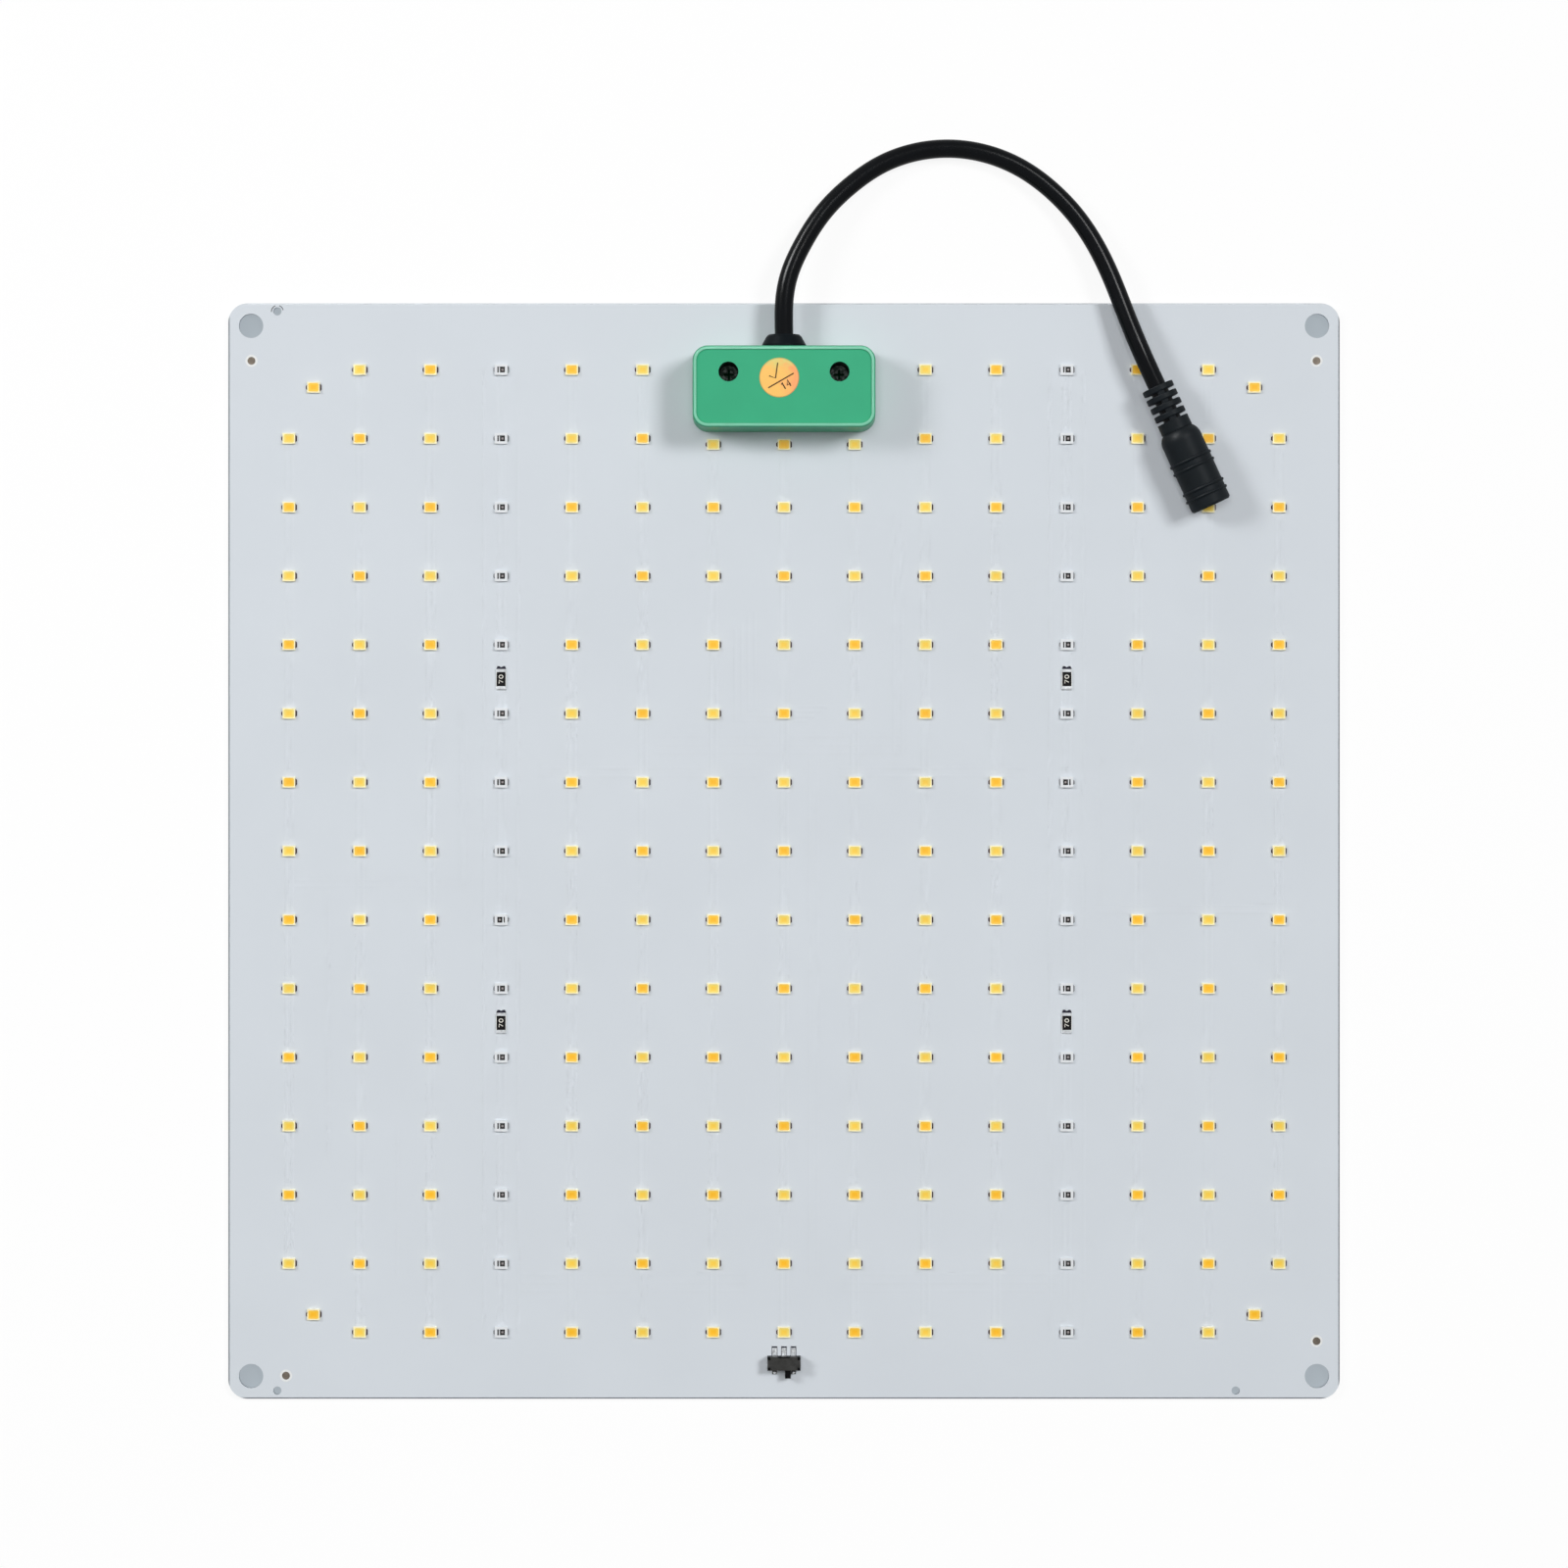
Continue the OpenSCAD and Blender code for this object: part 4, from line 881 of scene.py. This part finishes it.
def add_gel(name, solid, material, sizes, chance):
    """Gel in every package of one kind: the window's eight-sided outline, up its wall and in to a middle
    that lies lower by the dish times one less the square of the share of the way out."""
    boxes = solids(solid)
    low, high = boxes[:, 0], boxes[:, 1]
    x, y = ((high - low) / 2).mean(0)[:2]
    b = sizes.window_bevel
    first = np.array(((x, b - y), (x, y - b), (x - b, y), (b - x, y)))
    corners = np.concatenate([first, -first])
    outline = np.stack([corners, (corners + np.roll(corners, -1, axis=0)) / 2], axis=1).reshape(-1, 2)
    depth = (high - low)[:, 2].mean()
    shares = np.array(GEL_SHARES)
    heights = depth - sizes.gel_dish * (1 - shares**2)
    heights[:2] = 0
    tile = stacked(outline, np.stack([shares, heights], axis=1))
    base = (low + high) / 2 * (1, 1, 0) + low * (0, 0, 1)
    out = np.broadcast_to(shares[:, None], tile.shape[:2])
    uvs = [np.stack([out, np.full(tile.shape[:2], lot)], axis=2) for lot in chance.random(len(boxes))]
    gel = add_piece(name, [tile + site for site in base], material, uvs=uvs, sharp=50)
    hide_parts(solid)


class GROWLIGHT_OT_white_leds(bpy.types.Operator):
    """Fill the warm and cool white LEDs with gel and finish their packages"""

    bl_idname = "grow_light.white_leds"
    bl_label = "White LEDs"

    def execute(self, context):
        sizes, colours = sizes_and_colours(context)
        chance = np.random.default_rng(GEL_SEED)
        package = plastic("led_cream_plastic", colours.cream, 0.45, drift=0.03, cloud=700)
        dress(package, "white_led_housings")
        # Painted shade: the terminals take a dark tone in place of the shade beside the packages
        ends = metal("dark_solder", colours.dark_solder, 0.4, drift=0.3, cloud=1600)
        dress(ends, "white_led_terminals")
        warm = gel_finish("warm_phosphor", colours.warm_core, colours.warm_edge)
        cool = gel_finish("cool_phosphor", colours.cool_core, colours.cool_edge)
        add_gel("warm_gel", "warm_phosphor", warm, sizes, chance)
        add_gel("cool_gel", "cool_phosphor", cool, sizes, chance)
        return {"FINISHED"}


def clear_lenses(sizes):
    """A dished lens at the top of every red LED's window."""
    fills = solids("red_led_fills")
    x, y = (fills[:, 1] - fills[:, 0]).mean(0)[:2] / 2
    lens = stacked(rectangle(x, y), np.array(LENS_LEVELS) * (1, sizes.lens_dish))
    tops = fills.mean(1) * (1, 1, 0) + fills[:, 1] * (0, 0, 1)
    return [lens + top for top in tops]


class GROWLIGHT_OT_red_leds(bpy.types.Operator):
    """Finish the red LEDs: white packages, lead frames painted dark as a reflection, and dies under clear
    gel
    """

    bl_idname = "grow_light.red_leds"
    bl_label = "Red LEDs"

    def execute(self, context):
        sizes, colours = sizes_and_colours(context)
        package = plastic("led_white_plastic", colours.white, 0.45, drift=0.02, cloud=700)
        dress(package, "red_led_housings")
        ends = metal("bright_solder", colours.grey_solder, 0.4, drift=0.2, cloud=1600)
        dress(ends, "red_led_terminals")
        # Painted reflection: the frames take a near black colour in place of the dark room mirrored in
        # them
        frames = plastic("lead_frame", colours.lead_frame, 0.3, shine=0.05, drift=0.3, cloud=2500)
        dress(frames, "red_led_frames")
        dress(plastic("led_die", colours.die, 0.35, drift=0.35, cloud=5000), "red_led_dies")
        clear = plastic("clear_fill", GLASSY, 0.12, shine=0.2, drift=0.02, Alpha=0.02)
        gel = add_piece("clear_gel", clear_lenses(sizes), clear, sharp=50)
        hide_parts("red_led_fills")
        return {"FINISHED"}


def resistor_numbers(sizes):
    """A number on each coating, turned by a right angle to read along the resistor."""
    cell = np.array(NUMBER_CELL) * MM
    turn = math.radians(90)
    ink = (sizes.number_w, sizes.mark_t)
    marks = []
    for low, high in solids("resistor_coatings"):
        x, y = (low + high)[:2] / 2 + np.array(NUMBER_START) * MM
        start = np.array((x, y, high[2]))
        marks += stroke_marks(NUMBER_TEXT, cell, NUMBER_STEP * MM, start, turn, *ink)
    return marks


def resistor_fillets(sizes):
    """Solder from each resistor's far end out over the board: its height falls with the square of the way
    that is left, its width narrows evenly and its reach falls short with the eighth power of a cosine."""
    u, v = np.meshgrid(np.linspace(-1, 1, 13), np.linspace(0, 1, 7))
    made = []
    for low, high in solids("resistor_bodies"):
        middle, half = (low + high) / 2, (high - low) / 2
        x = middle[0] + u * half[0] * (1 - FILLET_TAPER * v)
        reach = sizes.fillet_reach * (1 - FILLET_DIP * np.cos(u * math.pi / 2) ** 8)
        y = high[1] + sizes.fillet_gap + v * reach
        z = BOARD_TOP + sizes.fillet_h * (1 - v) ** 2 + sizes.fillet_lift
        skin = np.stack([x, y, z], axis=2)
        base = skin * (1, 1, 0) + (0, 0, BOARD_TOP)
        made.append(np.concatenate([skin, base[::-1], skin[:1]]))
    return made


class GROWLIGHT_OT_resistors(bpy.types.Operator):
    """Finish the chip resistors, print their number and run solder up their ends"""

    bl_idname = "grow_light.resistors"
    bl_label = "Chip resistors"

    def execute(self, context):
        sizes, colours = sizes_and_colours(context)
        dress(plastic("resistor_ceramic", colours.ceramic, 0.5), "resistor_bodies")
        coating = plastic("resistor_coating", colours.coating, 0.4, shine=0.1, drift=0.2, cloud=1200)
        dress(coating, "resistor_coatings")
        dress(metal("resistor_caps", colours.solder, 0.4, drift=0.25, cloud=1500), "resistor_end_caps")
        ink = plastic("resistor_ink", colours.ink, 0.5, drift=0.1, cloud=4000)
        add_piece("resistor_numbers", resistor_numbers(sizes), ink)
        # Painted reflection: the solder up each resistor's far end is drawn dark, as if it mirrored the
        # room's dark side
        dark = plastic("painted_reflection_solder", colours.painted_reflection_solder, 0.25, shine=0.1, drift=0.3, cloud=1800)
        add_piece("resistor_solder", resistor_fillets(sizes), dark, wrap=False)
        return {"FINISHED"}


def foot_solder(sizes, feet):
    """Solder on each foot of the switch: a block round its tip and a strip along each of its edges, from
    the cover's rear to the tip."""
    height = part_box("switch_terminals")[0].z + sizes.bead_h - BOARD_TOP
    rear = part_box("switch_cover")[1].y
    tips = []
    edges = []
    for low, high in feet:
        middle, half = (low + high) / 2, (high - low) / 2
        block = rectangle(half[0] + sizes.tip_margin, sizes.tip_l / 2)
        tip = stacked(block, np.array(TIP_LEVELS) * (1, height))
        tips.append(tip + (middle[0], high[1] - sizes.tip_l / 2, BOARD_TOP))
        strip = rectangle(sizes.edge_w / 2, (high[1] - rear) / 2)
        edge = stacked(strip, np.array(EDGE_LEVELS) * (1, height))
        edges += [edge + (side, (high[1] + rear) / 2, BOARD_TOP) for side in (low[0], high[0])]
    return tips + edges


def lug_solder(sizes, feet):
    """A domed bead at the cover's front in line with the switch's first foot, and one with its last."""
    bead = stacked(oval(sizes.bead_w / 2, sizes.bead_l / 2), np.array(BEAD_LEVELS) * (1, sizes.bead_h))
    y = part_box("switch_cover")[0].y + sizes.bead_in
    return [bead + (x, y, BOARD_TOP) for x in feet[[0, -1]].mean(1)[:, 0]]


class GROWLIGHT_OT_slide_switch(bpy.types.Operator):
    """Finish the slide switch and bead its feet with solder"""

    bl_idname = "grow_light.slide_switch"
    bl_label = "Slide switch"

    def execute(self, context):
        sizes, colours = sizes_and_colours(context)
        moulded = plastic("switch_plastic", colours.switch_black, 0.5, shine=0.05)
        dress(moulded, "switch_base", "switch_slider")
        dress(metal("switch_sheet", colours.switch_sheet, 0.5, drift=0.2, cloud=900), "switch_cover")
        dress(metal("contact_bronze", colours.bronze, 0.35), "switch_contact")
        dress(metal("switch_feet", colours.tinned, 0.35, drift=0.5, cloud=1900), "switch_terminals")
        feet = solids("switch_terminals")
        # Painted reflection: the solder at the feet's tips and along their edges is drawn dark
        shaded = plastic("painted_reflection_tips", colours.painted_reflection_solder, 0.3, shine=0.1, drift=0.3, cloud=2200)
        add_piece("switch_tips", foot_solder(sizes, feet), shaded)
        tin = metal("switch_solder", colours.solder, 0.3, drift=0.4, cloud=2200)
        add_piece("switch_solder", lug_solder(sizes, feet), tin)
        return {"FINISHED"}


def sticker_finish(colours):
    """Gold foil whose hue slides across it with a wave, greener on the far side and rosier on the right,
    and which darkens at its rim."""
    material, tree, shader = new_material("sticker_foil", Metallic=0.25, Specular_IOR_Level=0.4)
    low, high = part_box("inspection_sticker")
    middle, reach = (low + high) / 2, (high - low).x / 2
    inputs = {"Vector": object_place(tree), "Location": -middle / reach, "Scale": (1 / reach,) * 3}
    place = node(tree, "ShaderNodeMapping", inputs).outputs[0]
    axis = axes_of(tree, place)
    wave = noise(tree, place, 1.6, 2.0)
    right = math_node(tree, "ADD", axis[0], spread(tree, wave, -0.5, 0.5))
    far = math_node(tree, "ADD", axis[1], spread(tree, wave, 0.4, -0.4))
    rosier = spread(tree, right, 0.0, 1.0, 0.1, 0.9)
    gold = mixed(tree, rosier, tuple(colours.gold), tuple(colours.gold_rose))
    greener = spread(tree, far, 0.0, 1.0, 0.4, 1.0)
    foil = mixed(tree, greener, gold, tuple(colours.gold_green))
    rim = spread(tree, distance(tree, axis[0], axis[1]), 1.0, 0.62, 0.94, 0.99)
    plug(tree, shader.inputs["Base Color"], mixed(tree, 1.0, foil, rim, "MULTIPLY"))
    plug(tree, shader.inputs["Roughness"], spread(tree, wave, 0.32, 0.46))
    return material


def cover_finish(sizes, colours):
    """Satin green plastic with a fine grain, with a painted highlight that pales the raised rim and
    painted shade that darkens a line inside it and the screw wells downwards."""
    material, tree, shader = new_material("green_plastic", Specular_IOR_Level=0.15)
    low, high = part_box("terminal_cover")
    middle, half = (low + high) / 2, (high - low) / 2
    place = object_place(tree)
    height = axes_of(tree, place)[2]
    # Painted highlight: the rim's top is paler, as if lit
    rim = spread(tree, height, 0.0, 1.0, high.z - sizes.rim_fade, high.z - sizes.rim_pale)
    core = sizes.rim_w + sizes.rim_r
    out = beyond(tree, moved(tree, middle), half.x - core, half.y - core)
    line = spread(tree, out, 0.0, 1.0, sizes.rim_r - sizes.rim_line, sizes.rim_r)
    screws = solids("cover_screws").mean(1)
    axis = (screws[:, 0].mean(), screws[:, 1].mean(), 0)
    across = axes_of(tree, moved(tree, axis))
    nearer = math_node(tree, "SUBTRACT", math_node(tree, "ABSOLUTE", across[0]), np.ptp(screws[:, 0]) / 2)
    bored = math_node(tree, "LESS_THAN", distance(tree, nearer, across[1]), sizes.well_r + sizes.well_gap)
    # Painted shade: the wells darken downwards
    well_painted_shade = spread(tree, height, 1.0, 0.0, high.z - sizes.well_dusk, high.z - sizes.well_dim)
    inside = math_node(tree, "MULTIPLY", bored, well_painted_shade)
    body = drifting(tree, noise(tree, place, 120.0), colours.green, 0.025)
    fine = noise(tree, place, 5000.0)
    lined = mixed(tree, line, body, tuple(colours.green_line))
    # Painted highlight on the rim over painted shade in the line inside it
    rim_highlighted = mixed(tree, rim, lined, tuple(colours.green_rim_painted_highlight))
    plug(tree, shader.inputs["Base Color"], mixed(tree, inside, rim_highlighted, tuple(colours.well)))
    plug(tree, shader.inputs["Roughness"], spread(tree, fine, 0.34, 0.44))
    raise_grain(tree, shader, fine, 0.5, 0.01)
    return material


def screw_finish(sizes, colours):
    """Dark plated steel with painted glints on the head, and painted shade nearly black in its cross."""
    material, tree, shader = new_material("dark_screw", Metallic=1.0)
    place = object_place(tree)
    height = axes_of(tree, place)[2]
    grains = noise(tree, place, 1500.0)
    # Painted highlight: noise scatters bright glints over the head
    head = ramp(tree, grains, (0.45, tuple(colours.screw)), (0.68, tuple(colours.screw_painted_glint)))
    # Painted shade in the cross, in the wells' colour
    sunk = math_node(tree, "LESS_THAN", height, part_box("cover_screws")[1].z - sizes.recess)
    plug(tree, shader.inputs["Base Color"], mixed(tree, sunk, head, tuple(colours.well)))
    plug(tree, shader.inputs["Roughness"], spread(tree, grains, 0.3, 0.5))
    return material


def sticker_marks(sizes):
    """A ruled line, a tick and a number on the sticker; each place is the sticker's middle plus so much
    along a turned line and so much across it."""
    low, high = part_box("inspection_sticker")
    middle = np.array(((low.x + high.x) / 2, (low.y + high.y) / 2, high.z))
    turn = math.radians(STICKER_TURN)
    axes = np.array(((math.cos(turn), math.sin(turn), 0), (-math.sin(turn), math.cos(turn), 0))) * MM
    along = np.linspace(*RULE_ENDS, RULE_POINTS)
    rule = middle + np.column_stack([along, np.full(RULE_POINTS, RULE_ACROSS)]) @ axes
    ink = (sizes.mark_w, sizes.mark_t)
    marks = [carried(flat_ribbon(*ink), rule)]
    rows = ((["tick"], TICK_AT, TICK_CELL, 0), (STAMP_TEXT, STAMP_AT, STAMP_CELL, STAMP_STEP))
    for text, at, cell, step in rows:
        start = middle + np.array(at) @ axes
        marks += stroke_marks(text, np.array(cell) * MM, step * MM, start, turn, *ink)
    return marks


class GROWLIGHT_OT_terminal_cover(bpy.types.Operator):
    """Finish the terminal cover, its screws and its round sticker"""

    bl_idname = "grow_light.terminal_cover"
    bl_label = "Terminal cover"

    def execute(self, context):
        sizes, colours = sizes_and_colours(context)
        dress(cover_finish(sizes, colours), "terminal_cover")
        dress(screw_finish(sizes, colours), "cover_screws")
        dress(sticker_finish(colours), "inspection_sticker")
        ink = plastic("sticker_ink", colours.sticker_ink, 0.5, drift=0.15, cloud=2500)
        add_piece("sticker_marks", sticker_marks(sizes), ink)
        return {"FINISHED"}


class GROWLIGHT_OT_gland_and_wires(bpy.types.Operator):
    """Finish the cable gland, the two wires in the cover and their solder joints"""

    bl_idname = "grow_light.gland_and_wires"
    bl_label = "Gland and wires"

    def execute(self, context):
        colours = context.scene.grow_light_colours
        rubber = plastic("gland_rubber", colours.black, 0.4, shine=0.045, grain=5000, bump=0.02)
        dress(rubber, "cable_gland")
        dress(plastic("red_wire", colours.red_wire, 0.4), "positive_wire")
        dress(plastic("black_wire", colours.jacket, 0.4), "negative_wire")
        dress(metal("joint_solder", colours.solder, 0.3), "wire_joints")
        return {"FINISHED"}


class GROWLIGHT_OT_power_socket(bpy.types.Operator):
    """Finish the moulded power socket, its insert and its two contacts"""

    bl_idname = "grow_light.power_socket"
    bl_label = "Power socket"

    def execute(self, context):
        colours = context.scene.grow_light_colours
        moulded = plastic("socket_jacket", colours.black, 0.48, shine=0.1, drift=0.15,
                          grain=6000, bump=0.03)
        dress(moulded, "socket_shell")
        dress(plastic("socket_core", colours.black, 0.4, shine=0.2), "socket_insert")
        dress(metal("plated_contact", colours.plated, 0.25), "socket_pin", "socket_contact")
        return {"FINISHED"}


PIECES = (
    GROWLIGHT_OT_stage,
    GROWLIGHT_OT_power_cable,
    GROWLIGHT_OT_circuit_board,
    GROWLIGHT_OT_white_leds,
    GROWLIGHT_OT_red_leds,
    GROWLIGHT_OT_resistors,
    GROWLIGHT_OT_slide_switch,
    GROWLIGHT_OT_terminal_cover,
    GROWLIGHT_OT_gland_and_wires,
    GROWLIGHT_OT_power_socket,
)


class GROWLIGHT_PT_pieces(bpy.types.Panel):
    """List of the pieces in the order in which they are made"""

    bl_idname = "GROWLIGHT_PT_pieces"
    bl_label = "Grow light board"
    bl_space_type = "VIEW_3D"
    bl_region_type = "UI"
    bl_category = "Grow light"

    def draw(self, context):
        for piece in PIECES:
            self.layout.operator(piece.bl_idname)


GROUPS = {
    "grow_light_sizes": GrowLightSizes,
    "grow_light_colours": GrowLightColours,
    "grow_light_stage": GrowLightStage,
}
CLASSES = (*GROUPS.values(), *PIECES, GROWLIGHT_PT_pieces)


def register():
    """Registers the classes and hangs the settings on the scene."""
    for kind in CLASSES:
        bpy.utils.register_class(kind)
    for name, group in GROUPS.items():
        setattr(bpy.types.Scene, name, PointerProperty(type=group))


def unregister():
    """Takes the settings off the scene and unregisters the classes."""
    for name in GROUPS:
        delattr(bpy.types.Scene, name)
    for kind in reversed(CLASSES):
        bpy.utils.unregister_class(kind)


def main():
    register()
    for piece in PIECES:
        family, action = piece.bl_idname.split(".")
        getattr(getattr(bpy.ops, family), action)()


if __name__ == "__main__":
    main()
